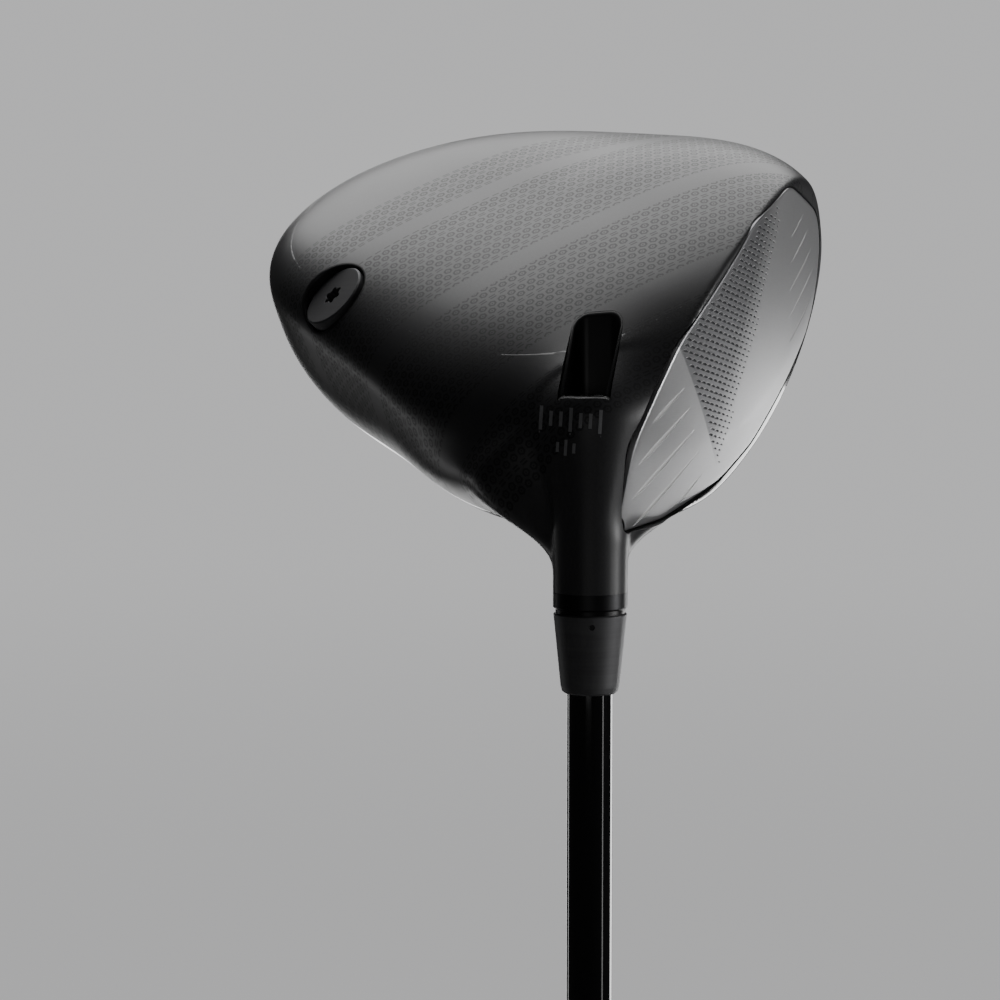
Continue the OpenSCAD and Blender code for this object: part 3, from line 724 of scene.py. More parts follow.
MATERIALS = {
    "body": satin_black("satin_body", (0.034, 0.034, 0.036), rough=0.40, pattern=True),
    "sole": satin_black("satin_sole", (0.036, 0.036, 0.038), rough=0.40, pattern=True),
    # spare finish without print, worn by no piece
    "plain": satin_black("satin_plain", (0.018, 0.018, 0.019), rough=0.38),
    "crown": crown_paint(),
    "face": face_metal(),
    "etch": etched(),
    "score": paint("score_white", (0.86, 0.86, 0.85), rough=0.35),
    "tick": paint("tick_grey", (0.26, 0.26, 0.27), rough=0.4),
    "hosel": turned_metal("hosel_satin", (0.045, 0.045, 0.047), rough=0.36, metal=0.85),
    "well": satin_black("well_satin", (0.012, 0.012, 0.0125), rough=0.34),
    "steel": turned_metal("screw_steel", (0.16, 0.16, 0.165), rough=0.32),
    "weight": turned_metal("weight_satin", (0.10, 0.10, 0.104), rough=0.50, metal=0.35),
    "seal": rubber("seal_rubber", (0.012, 0.012, 0.012), rough=0.62),
    "ring": paint("ring_plastic", (0.006, 0.006, 0.006), rough=0.30),
    "ferrule": turned_metal("ferrule_satin", (0.15, 0.15, 0.154), rough=0.50, metal=0.5,
                            scale=1800.0, strength=0.06),
    "dot": paint("dot_paint", (0.004, 0.004, 0.004), rough=0.25),
    "shaft": shaft_paint(),
    "grip": grip_rubber(),
    "cap": rubber("grip_cap_rubber", (0.010, 0.010, 0.010), rough=0.5, scale=1100.0),
    "adhesive": paint("adhesive_cured", (0.016, 0.016, 0.017), rough=0.5),
    "weld": turned_metal("weld_metal", (0.06, 0.06, 0.062), rough=0.5, metal=0.8, strength=0.3),
    "polymer": rubber("damping_polymer", (0.05, 0.10, 0.16), rough=0.5),
    "alu": turned_metal("adapter_aluminium", (0.30, 0.30, 0.31), rough=0.30),
    "brass": turned_metal("plug_brass", (0.55, 0.42, 0.20), rough=0.32),
    "tape": paint("tape_paper", (0.62, 0.58, 0.47), rough=0.8),
}

CAD_MATERIAL = {
    "head_body": "body", "crown_shell": "crown", "sole_shell": "sole", "face_plate": "face",
    "crown_bond": "adhesive", "sole_bond": "adhesive", "face_weld": "weld",
    "hosel_tube": "hosel", "screw_well": "well", "screw_washer": "seal",
    "hosel_screw": "steel", "weight_port": "well", "weight_seal": "seal",
    "rear_weight": "weight", "damping_pad": "polymer", "adapter_sleeve": "alu",
    "hosel_ring": "ring", "ferrule": "ferrule", "ferrule_dot": "dot", "shaft": "shaft",
    "shaft_plug": "brass", "shaft_bond": "adhesive", "grip_tape": "tape", "grip": "grip",
    "grip_cap": "cap",
}


def dress_cad_pieces():
    for name, piece in NODES.items():
        material = MATERIALS[CAD_MATERIAL[name]]
        if len(piece.material_slots) == 0:
            piece.data.materials.append(material)
        for slot in piece.material_slots:
            slot.link = "OBJECT"
            slot.material = material


# ------------------------------------------------------------------ weight frame
WEIGHT_PLACE = np.array([14.3, -65.8, 4.6])
WEIGHT_TILT, WEIGHT_TURN = math.radians(25.5), math.radians(49.0)


def rotation_z(angle):
    cos, sin = math.cos(angle), math.sin(angle)
    return np.array([[cos, -sin, 0], [sin, cos, 0], [0, 0, 1]])


def rotation_y(angle):
    cos, sin = math.cos(angle), math.sin(angle)
    return np.array([[cos, 0, sin], [0, 1, 0], [-sin, 0, cos]])


# weight frame to head frame; its z axis points out of the skin
WEIGHT_FRAME = rotation_z(math.pi + WEIGHT_TURN) @ rotation_y(math.pi - WEIGHT_TILT)
WEIGHT_OUT = WEIGHT_FRAME @ np.array([0, 0, 1.0])


def weight_radius(points):
    local = (np.asarray(points) - WEIGHT_PLACE) @ WEIGHT_FRAME
    # only the pocket side counts
    return np.where(local[..., 2] > -14.5, np.hypot(local[..., 0], local[..., 1]), 99.0)


# ------------------------------------------------------------------ outer skin
SKIN_BOX = ((-36, -102, -3), (108, 32, 64))
SKIN_CELL, CAVITY_CELL = 0.62, 1.5
WALL = 1.25
CAVITY_RIM = 3.0
AXIS_CLEAR, WEIGHT_CLEAR = 8.6, 9.4             # radii the cavity keeps out of
NECK_TOP = 51.1
BORE_RADIUS = 5.97


def cavity_value(points):
    axis_radius = axis_terms(points[..., 0], points[..., 1], points[..., 2])[3]
    value = skin_value(points, CAVITY_RIM) + WALL
    value = smooth_max(value, AXIS_CLEAR - axis_radius, 1.0)
    return smooth_max(value, WEIGHT_CLEAR - weight_radius(points), 1.0)


def cavity_grid(*axes):
    return cavity_value(np.stack(np.meshgrid(*axes, indexing="ij"), -1))


def build_skin():
    """Hollow head with the neck cut off at its top and bored for the tube."""
    skin = mesh_object("head_skin", *surface_net(*SKIN_BOX, SKIN_CELL, skin_grid, skin_value))
    net = surface_net(*SKIN_BOX, CAVITY_CELL, cavity_grid, cavity_value, steps=2)
    boolean(skin, mesh_object("cavity", *net))
    cut_cylinder(skin, "neck_top", 20.0, NECK_TOP, 80.0)
    cut_cylinder(skin, "bore", BORE_RADIUS, 15.0, 60.0)
    return skin


def surface_along(starts, direction, low, high, count=160):
    """Distance from each start to its first crossing into the skin, between low and high."""
    reach = np.linspace(low, high, count)
    inside = skin_value(starts[:, None, :] + reach[None, :, None] * direction) < 0
    first = np.argmax(inside, axis=1)
    first = np.where(inside.any(1), np.maximum(first, 1), count - 1)
    outer, inner = reach[first - 1], reach[first]
    for _ in range(24):
        middle = (outer + inner) / 2
        hit = skin_value(starts + middle[:, None] * direction) < 0
        inner = np.where(hit, middle, inner)
        outer = np.where(hit, outer, middle)
    return (outer + inner) / 2


# ------------------------------------------------------------------ screw well
WELL_COUNT = 96
WELL_HALF_WIDTH, WELL_HALF_LENGTH, WELL_CORNER = 4.3, 7.45, 2.3
WELL_TURN = math.radians(14)
WELL_SHIFT = 0.1
POCKET_FLOOR = 15.0                             # station of the pocket floor
LINER_BACK = 16.9                               # station of the liner's far side
WELL_HOLE = 4.7                                 # radius of the hole through the floor


def well_outline(grow):
    """Rounded rectangle across the shaft axis, as (fore, across) offsets."""
    points = []
    per_corner = WELL_COUNT // 4
    for corner, (sign_x, sign_y) in enumerate(((1, 1), (-1, 1), (-1, -1), (1, -1))):
        x = sign_x * (WELL_HALF_WIDTH - WELL_CORNER)
        y = sign_y * (WELL_HALF_LENGTH - WELL_CORNER)
        for i in range(per_corner):
            angle = math.pi / 2 * (corner + i / (per_corner - 1))
            points.append((x + (WELL_CORNER + grow) * math.cos(angle),
                           y + (WELL_CORNER + grow) * math.sin(angle)))
    x, y = np.array(points).T
    cos, sin = math.cos(WELL_TURN), math.sin(WELL_TURN)
    return x * cos - y * sin, x * sin + y * cos - WELL_SHIFT


def well_edge(grow, margin, station=POCKET_FLOOR):
    """Well outline drawn towards the shaft axis until it lies inside the skin at a station."""
    fore, across = well_outline(grow)
    scales = np.linspace(0.3, 1.25, 400)
    fit = np.empty(len(fore))
    for i in range(len(fore)):
        line = axis_point(scales * fore[i], scales * across[i], np.full(len(scales), station))
        outside = np.where(skin_value(line) > 0)[0]
        edge = scales[outside[0]] if len(outside) else 9.0
        fit[i] = min(1.0, edge - margin / math.hypot(fore[i], across[i]))
    return fore * fit, across * fit


def ring_at(outline, station):
    station = np.broadcast_to(np.asarray(station, float), outline[0].shape)
    return axis_point(*outline, station)


def well_mouth(grow, drop):
    """Stations where the outline first meets the skin, never below the pocket floor."""
    starts = ring_at(well_outline(grow), 0.0)
    hit = surface_along(starts, AXIS, -14.0, POCKET_FLOOR + 0.5)
    return np.minimum(hit + drop, POCKET_FLOOR - 0.06)


def well_circle(radius, station):
    """Circle round the shaft axis with a point for each point of the well outline."""
    fore, across = well_outline(0.0)
    angle = np.arctan2(across, fore)
    return axis_point(radius * np.cos(angle), radius * np.sin(angle), np.full(len(angle), station))


def build_well(skin):
    """Liner of the screw well, and the recess for it in the skin."""
    outer = well_edge(grow=0.60, margin=0.75)
    wall = well_edge(grow=0.0, margin=1.25)
    rings = [
        ring_at(well_edge(grow=0.60, margin=1.1, station=17.0), LINER_BACK),
        ring_at(outer, 15.7),
        ring_at(outer, well_mouth(grow=0.60, drop=0.04)),
        ring_at(well_edge(grow=0.34, margin=0.95), well_mouth(grow=0.34, drop=0.02)),
        ring_at(well_edge(grow=0.12, margin=1.1), well_mouth(grow=0.12, drop=0.14)),
        ring_at(wall, well_mouth(grow=0.0, drop=0.40)),
        ring_at(wall, POCKET_FLOOR - 0.03),
        ring_at(well_edge(grow=-0.35, margin=1.6), POCKET_FLOOR),
        well_circle(4.85, POCKET_FLOOR),
        well_circle(WELL_HOLE, POCKET_FLOOR + 0.15),
        well_circle(WELL_HOLE, LINER_BACK),
    ]
    liner = mesh_object("well_liner", *loft(rings + [rings[0]], caps=False), MATERIALS["well"])
    merge_close(liner)
    finish_mesh(liner, 40)

    grow = 0.62
    full = well_outline(grow)
    fitted = well_edge(grow, margin=0.72)
    deep = well_edge(grow, margin=1.05, station=17.0)
    rings = [ring_at(full, -16.0), ring_at(full, POCKET_FLOOR + 0.62),
             ring_at(fitted, POCKET_FLOOR - 0.04), ring_at(fitted, 15.72), ring_at(deep, 16.92)]
    boolean(skin, make_cutter("well_cut", *loft(rings)))
    return liner


# ------------------------------------------------------------------ weight pocket
CUP_COUNT = 128
CUP_ANGLES = np.linspace(0, 2 * math.pi, CUP_COUNT, endpoint=False)
CUP_RADIUS = 8.3
CUP_HOLE = 3.06
# rounded lip of the cup: radius, drop below the skin
CUP_LIP = [(CUP_RADIUS, 0.05), (8.0, 0.02), (7.72, 0.12), (7.56, 0.42)]
# stepped inside of the cup: radius, height in the weight frame
CUP_INSIDE = [(7.55, -3.79), (CUP_HOLE, -3.8), (CUP_HOLE, -11.3), (0.4, -11.35)]


def cup_ring(radius, height):
    local = np.stack([radius * np.cos(CUP_ANGLES), radius * np.sin(CUP_ANGLES),
                      np.full(CUP_COUNT, height)], -1)
    return WEIGHT_PLACE + local @ WEIGHT_FRAME.T


def cup_lip_ring(radius, drop):
    starts = cup_ring(radius, 9.0)
    depth = surface_along(starts, -WEIGHT_OUT, 0.0, 16.0)
    return starts - (depth + drop)[:, None] * WEIGHT_OUT


def build_cup(skin):
    """Cup for the rear weight, and the hole for it in the skin."""
    rings = [cup_ring(CUP_RADIUS, -12.5)]
    rings += [cup_lip_ring(*row) for row in CUP_LIP]
    rings += [cup_ring(*row) for row in CUP_INSIDE]
    cup = mesh_object("weight_cup", *loft(rings), MATERIALS["well"])
    merge_close(cup)
    finish_mesh(cup, 40)
    rings = [cup_ring(CUP_RADIUS - 0.02, 12.0), cup_ring(CUP_RADIUS - 0.02, -12.4)]
    boolean(skin, make_cutter("cup_cut", *loft(rings)))
    return cup


# ------------------------------------------------------------------ face outline
# the face outline is the hull of these circles: toe, rise, radius
FACE_CIRCLES = [
    (56, 18.2, 10.9), (40, 14.8, 10.2), (5.5, 17.4, 8.4), (-8.4, 24.8, 7.7), (66.5, 34, 15.6),
    (34, 41.2, 10.5), (56, 38.8, 12), (19, 41.3, 8.2), (-20.2, 33.5, 1.0), (-6.4, 40.7, 0.8),
]
HUG_DEPTH = 2.0                                 # depth at which the body is measured
NECK_CLEAR = NECK_RADIUS - 0.62


def arc_hull(circles, grow, step):
    """Hull of the circles as evenly spaced (toe, rise) points, turning from toe to rise."""
    angle = np.linspace(0, 2 * math.pi, 1440, endpoint=False)
    outward = np.stack([np.cos(angle), np.sin(angle)], 1)
    table = np.array(circles, float)
    centres, radii = table[:, :2], table[:, 2]
    widest = (outward @ centres.T + radii).argmax(1)
    points = centres[widest] + (radii[widest] + grow)[:, None] * outward
    points = points[np.linalg.norm(np.roll(points, -1, 0) - points, axis=1) > 1e-6]
    lengths = np.linalg.norm(np.roll(points, -1, 0) - points, axis=1)
    travelled = np.concatenate([[0], np.cumsum(lengths)])
    places = np.linspace(0, travelled[-1], int(travelled[-1] / step), endpoint=False)
    ring = np.vstack([points, points[:1]])
    return np.stack([np.interp(places, travelled, ring[:, 0]),
                     np.interp(places, travelled, ring[:, 1])], 1)


def face_ring(outline, depth):
    """Puts a (toe, rise) outline at a depth behind the face ball."""
    toe, rise = outline[:, 0], outline[:, 1]
    fore = FACE_CENTRE[1] + np.sqrt((FACE_RADIUS - depth) ** 2 - (toe - FACE_CENTRE[0]) ** 2
                                    - (rise - FACE_CENTRE[2]) ** 2)
    return np.stack([toe, fore, rise], 1)


def shrink(outline, distance):
    """Moves an outline inwards along its own normal."""
    tangent = np.roll(outline, -1, 0) - np.roll(outline, 1, 0)
    tangent /= np.linalg.norm(tangent, axis=1, keepdims=True)
    return outline + distance * np.stack([-tangent[:, 1], tangent[:, 0]], 1)


def hug(outline, margin):
    """Pulls an outline inwards wherever the body behind it is thinner than the margin."""
    outline = outline.copy()
    for _ in range(70):
        thin = (skin_value(face_ring(outline, HUG_DEPTH)) > -margin).astype(float)
        if not thin.any():
            break
        pull = thin.copy()
        for _k in range(3):
            pull = np.maximum(thin, (pull + np.roll(pull, 1) + np.roll(pull, -1)) / 3)
        outline += 0.08 * pull[:, None] * (shrink(outline, 1.0) - outline)
    for _ in range(4):
        outline = 0.5 * outline + 0.25 * (np.roll(outline, 1, 0) + np.roll(outline, -1, 0))
    return outline


def cut_face_opening(skin):
    """Recess behind the plate, left solid round the neck."""
    outline = hug(arc_hull(FACE_CIRCLES, grow=0.34, step=1.0), margin=0.55)
    near = np.stack([outline[:, 0], np.full(len(outline), 40.0), outline[:, 1]], 1)
    cutter = make_cutter("face_cut", *loft([near, face_ring(outline, 3.1)]))
    cut_cylinder(cutter, "hosel_keep", NECK_RADIUS - 0.76, -20.0, 70.0)
    boolean(skin, cutter)


# ------------------------------------------------------------------ face plate
PLATE_DEPTH = 2.6
# bevelled rim from the back forward: distance inwards, depth
PLATE_RIM = [(0.0, PLATE_DEPTH), (0.0, 0.30), (0.08, 0.12), (0.28, 0.02), (0.5, 0.0)]
FRONT_STEPS, BACK_STEPS = 26, 6
# section of the weld bead: distance inwards, depth
BEAD_SECTION = [(0.12, 0.95), (0.0, 0.86), (-0.12, 0.95), (-0.12, 1.6), (-0.12, 2.2),
                (0.12, 2.2), (0.12, 1.6), (0.12, 0.95)]


def build_plate(rim):
    """Plate with a ball-shaped front and back and a bevelled rim."""
    centre = rim.mean(0)
    count = len(rim)
    front = shrink(rim, PLATE_RIM[-1][0])
    rings = [face_ring(shrink(rim, inward), depth) for inward, depth in PLATE_RIM]
    for i in range(1, FRONT_STEPS):
        rings.append(face_ring(centre + (front - centre) * (1 - i / FRONT_STEPS), 0.0))
    points, faces = loft(rings, caps=False)
    front_middle = len(points)
    last = front_middle - count
    for i in range(count):
        faces.append((last + i, last + (i + 1) % count, front_middle))

    back_rings = [face_ring(centre + (rim - centre) * (1 - i / BACK_STEPS), PLATE_DEPTH)
                  for i in range(1, BACK_STEPS)]
    previous = 0
    for k in range(len(back_rings)):
        current = front_middle + 1 + k * count
        for i in range(count):
            j = (i + 1) % count
            faces.append((previous + j, previous + i, current + i, current + j))
        previous = current
    for i in range(count):
        faces.append((previous + (i + 1) % count, previous + i, previous + count))
    points = np.vstack([points, face_ring(centre[None, :], 0.0), *back_rings,
                        face_ring(centre[None, :], PLATE_DEPTH)])

    plate = mesh_object("face_skin", points, faces, MATERIALS["face"])
    merge_close(plate)
    plate.data.materials.append(MATERIALS["etch"])
    plate.data.materials.append(MATERIALS["score"])
    cut_cylinder(plate, "hosel_clear", NECK_CLEAR, -20.0, 70.0)
    return plate


def build_bead():
    """Weld bead that closes the joint between plate and body."""
    outline = hug(arc_hull(FACE_CIRCLES, grow=0.17, step=0.9), margin=0.72)
    rings = [face_ring(shrink(outline, inward), depth) for inward, depth in BEAD_SECTION]
    bead = mesh_object("weld_bead", *loft(rings, caps=False), MATERIALS["weld"])
    merge_close(bead)
    cut_cylinder(bead, "bead_clear", NECK_CLEAR, -20.0, 70.0)
    finish_mesh(bead, 40)
    return bead


def slab(outline, near, far):
    """Solid between two depths behind the face ball."""
    return loft([face_ring(outline, far), face_ring(outline, near)])


# ------------------------------------------------------------------ score lines
# rise, then start and end (toe) of the heel-side line and of the toe-side line
SCORE_LINES = [
    (18.8, (-7.2, 4), (58.9, 68)),
    (24.2, (-13, 5.5), (58.2, 71.4)),
    (30, (-16, 6.7), (56.6, 73.6)),
    (36, (-16.1, 8.2), (55.8, 75.6)),
    (42.2, (-0.3, 9.1), (56.2, 74.5)),
]
# half width, place of the widest point along the line
HEEL_SPINDLE, TOE_SPINDLE = (0.46, 0.30), (0.24, 0.55)


def spindle(start, end, rise, half_width, peak, count=22):
    """Outline of a slim line, tapered to both ends."""
    along = np.linspace(0, 1, count)
    growing = np.sin(np.clip(along / peak, 0, 1) * math.pi / 2) ** 0.8
    fading = np.cos(np.clip((along - peak) / (1 - peak), 0, 1) * math.pi / 2) ** 1.25
    half = np.maximum(half_width * np.where(along < peak, growing, fading), 0.03)
    toe = start + (end - start) * along
    upper = np.stack([toe, rise + half], 1)
    lower = np.stack([toe, rise - half], 1)[::-1]
    return np.vstack([lower, upper])[::-1]


def build_scores(plate):
    """Cuts the score lines into the plate and returns their paint fill."""
    cuts, fills = [], []
    for rise, heel, toe in SCORE_LINES:
        for (start, end), (half, peak) in ((heel, HEEL_SPINDLE), (toe, TOE_SPINDLE)):
            cuts.append(slab(spindle(start, end, rise, half, peak), -0.4, 0.22))
            inset = spindle(start + 0.05, end - 0.05, rise, half * 0.97, peak)
            fills.append(slab(inset, 0.05, 0.215))
    boolean(plate, make_cutter("score_cut", *join_parts(cuts)))
    fill = mesh_object("score_fill", *join_parts(fills), MATERIALS["score"])
    merge_close(fill)
    finish_mesh(fill, 30)
    return fill


# ------------------------------------------------------------------ etched cells
ETCH_START = np.array([3.0, 5.0])
ETCH_STEP, ETCH_ROW = 2.45, 1.46
CELL_LONG = np.array([0.755, 0.656])            # directions of a cell as (toe, rise)
CELL_SHORT = np.array([-0.656, 0.755])
FADE_LENGTH = 9.0
# corners of a cell along its two directions
CELL_CORNERS = [(-1.16, 0.06), (-0.45, -0.34), (0.42, -0.30), (1.16, -0.02), (0.40, 0.10),
                (-0.45, 0.06)]


def inside_polygon(points, polygon):
    x, y = points[:, 0], points[:, 1]
    inside = np.zeros(len(points), bool)
    for i in range(len(polygon)):
        corner_x, corner_y = polygon[i]
        before_x, before_y = polygon[i - 1]
        inside ^= ((corner_y > y) != (before_y > y)) & (
            x < (before_x - corner_x) * (y - corner_y) / (before_y - corner_y + 1e-12) + corner_x)
    return inside


def etch_fade(toe, rise):
    """0 at the fading boundary of the etched field, 1 well inside."""
    border = np.vstack([ETCH_FIELD[2:], ETCH_FIELD[:1]])
    nearest = np.full(len(toe), 1e9)
    for start, end in zip(border[:-1], border[1:]):
        span = end - start
        part = ((toe - start[0]) * span[0] + (rise - start[1]) * span[1]) / (span @ span)
        part = np.clip(part, 0, 1)
        nearest = np.minimum(nearest, np.hypot(toe - start[0] - part * span[0],
                                               rise - start[1] - part * span[1]))
    return np.clip(nearest / FADE_LENGTH, 0, 1)


def etch_plate(plate, rim):
    """Cuts shallow slanted lozenges into the middle of the face."""
    cells = np.array([
        ETCH_START + (i + 0.5 * (j % 2)) * ETCH_STEP * CELL_LONG + j * np.array([0.0, ETCH_ROW])
        for j in range(-40, 40) for i in range(-30, 40)])
    cells = cells[inside_polygon(cells, ETCH_FIELD)]
    cells = cells[inside_polygon(cells, shrink(rim, 1.2))]
    lozenge = np.array([along * CELL_LONG + across * CELL_SHORT
                        for along, across in CELL_CORNERS])
    sizes = 0.55 + 0.45 * etch_fade(cells[:, 0], cells[:, 1])
    parts = [slab(cell + lozenge * size, -0.3, 0.07) for cell, size in zip(cells, sizes)]
    boolean(plate, make_cutter("etch_cut", *join_parts(parts)))

    # faces just below the ball front take the etched finish
    polygons = plate.data.polygons
    centres = np.empty(len(polygons) * 3)
    polygons.foreach_get("center", centres)
    centres = to_head(centres.reshape(-1, 3))
    flat = centres[:, [0, 2]]
    depth = FACE_RADIUS - np.linalg.norm(centres - FACE_CENTRE, axis=1)
    wider_field = ETCH_FIELD + (ETCH_FIELD - ETCH_FIELD.mean(0)) * 0.04
    low = (depth > 0.012) & (depth < 0.10) & inside_polygon(flat, wider_field)
    low &= inside_polygon(flat, shrink(rim, 0.7))
    polygons.foreach_set("material_index", np.where(low, 1, 0).astype(np.int32))
    finish_mesh(plate, 25)


# ------------------------------------------------------------------ seams of the skin
CROWN_SEAM, SOLE_SEAM = 24.0, -40.0             # latitudes from the skirt, in degrees
NECK_KEEP = 21.0                                # radius round the shaft that stays body


def latitude_offsets(angle, latitude):
    """Offsets from the plan centre to the skin at a latitude, and the skirt heights."""
    power = CROWN_POWER if latitude >= 0 else wave(SOLE_POWERS, angle)
    radius, skirt = wave(PLAN_RADII, angle), wave(SKIRT_HEIGHTS, angle)
    exponent = 2 / power
    outward = math.cos(math.radians(abs(latitude))) ** exponent
    height = (math.sin(math.radians(abs(latitude))) ** exponent
              * (CROWN_TOP - skirt if latitude >= 0 else -skirt))
    return np.stack([radius * outward * np.cos(angle), radius * outward * np.sin(angle),
                     height * np.ones_like(angle)], -1), skirt


def seam_solid(name, latitude, count=240):
    """Solid that holds everything past a latitude: crown-ward if positive, else sole-ward."""
    crownward = latitude > 0
    angle = np.linspace(0, 2 * math.pi, count, endpoint=False)
    offsets, skirt = latitude_offsets(angle, latitude)
    centres = np.stack([np.full(count, PLAN_TOE), np.full(count, PLAN_FORE), skirt], -1)
    inner, outer = centres + 0.35 * offsets, centres + 1.45 * offsets
    end_height = 140.0 if crownward else -60.0
    far = outer.copy()
    far[:, 2] = end_height
    points = np.vstack([inner, outer, far, [inner.mean(0)], [[PLAN_TOE, PLAN_FORE, end_height]]])
    faces = []
    for i in range(count):
        j = (i + 1) % count
        faces += [(i, j, count + j, count + i),
                  (count + i, count + j, 2 * count + j, 2 * count + i),
                  (3 * count, j, i),
                  (3 * count + 1, 2 * count + i, 2 * count + j)]
    if crownward:
        faces = [tuple(reversed(face)) for face in faces]
    solid = mesh_object(name, points, faces, smooth=False)
    shape = bmesh.new()
    shape.from_mesh(solid.data)
    bmesh.ops.recalc_face_normals(shape, faces=shape.faces)
    if shape.calc_volume(signed=True) < 0:
        bmesh.ops.reverse_faces(shape, faces=shape.faces)
    shape.to_mesh(solid.data)
    shape.free()
    return solid


def split_skin(skin):
    """Splits crown and sole off the skin, which stays as the body. The neck is never crown."""
    merge_close(skin, 1e-6)
    crown = copy_object(skin, "crown_skin")
    boolean(crown, seam_solid("seam_up", CROWN_SEAM), "INTERSECT")
    cut_cylinder(crown, "neck_keep", NECK_KEEP, 8.0, 80.0)
    sole = copy_object(skin, "sole_skin")
    boolean(sole, seam_solid("seam_dn", SOLE_SEAM), "INTERSECT")
    crown_side = seam_solid("seam_up2", CROWN_SEAM)
    cut_cylinder(crown_side, "neck_keep2", NECK_KEEP, 8.0, 80.0)
    boolean(skin, crown_side)
    boolean(skin, seam_solid("seam_dn2", SOLE_SEAM))
    skin.name = "body_skin"
    for piece, key in ((skin, "body"), (crown, "crown"), (sole, "sole")):
        merge_close(piece, 1e-6)
        finish_mesh(piece, 38)
        piece.data.materials.clear()
        piece.data.materials.append(MATERIALS[key])
    flat_coords(skin)
    flat_coords(sole)
    return crown, sole


def build_bond():
    """Adhesive film under the crown, trimmed clear of the neck flare."""
    source = NODES["crown_bond"]
    mesh = source.data.copy()
    mesh.transform(source.matrix_world)
    bond = bpy.data.objects.new("bond_film", mesh)
    bpy.context.scene.collection.objects.link(bond)
    mesh.materials.clear()
    mesh.materials.append(MATERIALS["adhesive"])
    cut_cylinder(bond, "bond_clear", NECK_KEEP + 0.5, 8.0, 80.0)
    return bond


# ------------------------------------------------------------------ camera
AZIMUTH, ELEVATION = math.radians(29.1), math.radians(4.6)
VIEW_DISTANCE = 432.0
ORIGIN_RIGHT, ORIGIN_UP = 16.6497882, 34.0680282    # head origin from the view axis
TO_CAMERA = np.array([math.sin(AZIMUTH) * math.cos(ELEVATION),
                      -math.cos(AZIMUTH) * math.cos(ELEVATION), math.sin(ELEVATION)])
VIEW_RIGHT = np.array([math.cos(AZIMUTH), math.sin(AZIMUTH), 0.0])
VIEW_UP = np.cross(TO_CAMERA, VIEW_RIGHT)
HEAD_ORIGIN = np.array([0, 0, CLUB_LENGTH])     # row directions, millimetres
EYE = (HEAD_ORIGIN + VIEW_DISTANCE * TO_CAMERA
       - ORIGIN_RIGHT * VIEW_RIGHT - ORIGIN_UP * VIEW_UP)


def add_camera():
    data = bpy.data.cameras.new("camera")
    data.lens, data.sensor_width = 85.0, 36.0
    data.clip_start, data.clip_end = 0.01, 200.0
    camera = bpy.data.objects.new("camera", data)
    bpy.context.scene.collection.objects.link(camera)
    camera.location = Vector(EYE / 1000.0)
    camera.rotation_mode = "QUATERNION"
    camera.rotation_quaternion = Vector(tuple(-TO_CAMERA)).to_track_quat("-Z", "Y")
    bpy.context.scene.camera = camera


# ------------------------------------------------------------------ setting scale by the well
# Bars are laid out on the plane through the head origin that faces the camera, in mm right
# and up from that origin, and carried along the sight lines onto the skin.
# centre right, centre up, width, height
LONG_ROW = [(-9.14824 + 1.81135 * k, -18.97344 - 0.137224 * k, 0.62208,
             4.39115 if k % 3 == 0 else 2.74447) for k in range(7)]
SHORT_ROW = [(-6.12932 + 1.50031 * k, -24.37090 - 0.128075 * k, 0.54889,
              2.92744 if k == 1 else 1.82965) for k in range(3)]
CROSS_BAR = (-3.84226, -21.99236, 11.34381, 0.32934)
BAR_LEAN, BAR_SLOPE = 0.06, -0.08               # right per up, up per right
BAR_COLUMNS, BAR_ROWS = 3, 7
BAR_PROUD, BAR_SUNK = 0.03, 0.12


def cast(right, up):
    """Head-frame point where the sight line through a plane point meets the skin, or None."""
    direction = HEAD_ORIGIN + right * VIEW_RIGHT + up * VIEW_UP - EYE
    direction /= np.linalg.norm(direction)
    distances = np.linspace(330, 520, 900)
    points = to_head((EYE + distances[:, None] * direction) / 1000.0)
    values = skin_value(points)
    entries = np.where((values[:-1] > 0) & (values[1:] <= 0))[0]
    if not len(entries):
        return None
    i = entries[0]
    part = values[i] / (values[i] - values[i + 1])
    return points[i] * (1 - part) + points[i + 1] * part


def scale_bar(right, up, width, height):
    """Thin bar on the skin as (points, faces), or None if part of it misses the skin."""
    columns, rows = BAR_COLUMNS, BAR_ROWS
    points = []
    for j in range(rows):
        for i in range(columns):
            x = (i / (columns - 1) - 0.5) * width
            y = (0.5 - j / (rows - 1)) * height
            points.append(cast(right + x + BAR_LEAN * y, up + y + BAR_SLOPE * x))
    if any(point is None for point in points):
        return None
    points = np.array(points)
    outward = gradient(points, skin_value)
    outward /= np.linalg.norm(outward, axis=1, keepdims=True)
    layer = columns * rows
    faces = []
    for j in range(rows - 1):
        for i in range(columns - 1):
            a = j * columns + i
            faces.append((a, a + columns, a + columns + 1, a + 1))
            faces.append(tuple(layer + k for k in (a, a + 1, a + columns + 1, a + columns)))
    border = list(range(columns))
    border += [columns - 1 + columns * j for j in range(1, rows)]
    border += [columns * (rows - 1) + i for i in range(columns - 2, -1, -1)]
    border += [columns * j for j in range(rows - 2, 0, -1)]
    for start, end in zip(border, border[1:] + border[:1]):
        faces.append((start, end, layer + end, layer + start))
    return np.vstack([points + BAR_PROUD * outward, points - BAR_SUNK * outward]), faces


def build_ticks():
    bars = [scale_bar(*row) for row in LONG_ROW + SHORT_ROW + [CROSS_BAR]]
    # a bar that runs off the skin is left out
    parts = [bar for bar in bars if bar is not None]
    ticks = mesh_object("scale_ticks", *join_parts(parts), MATERIALS["tick"])
    merge_close(ticks)
    finish_mesh(ticks, 40)
    return ticks


# ------------------------------------------------------------------ floor, in metres
BACKDROP = (0.56, 0.56, 0.565, 1)


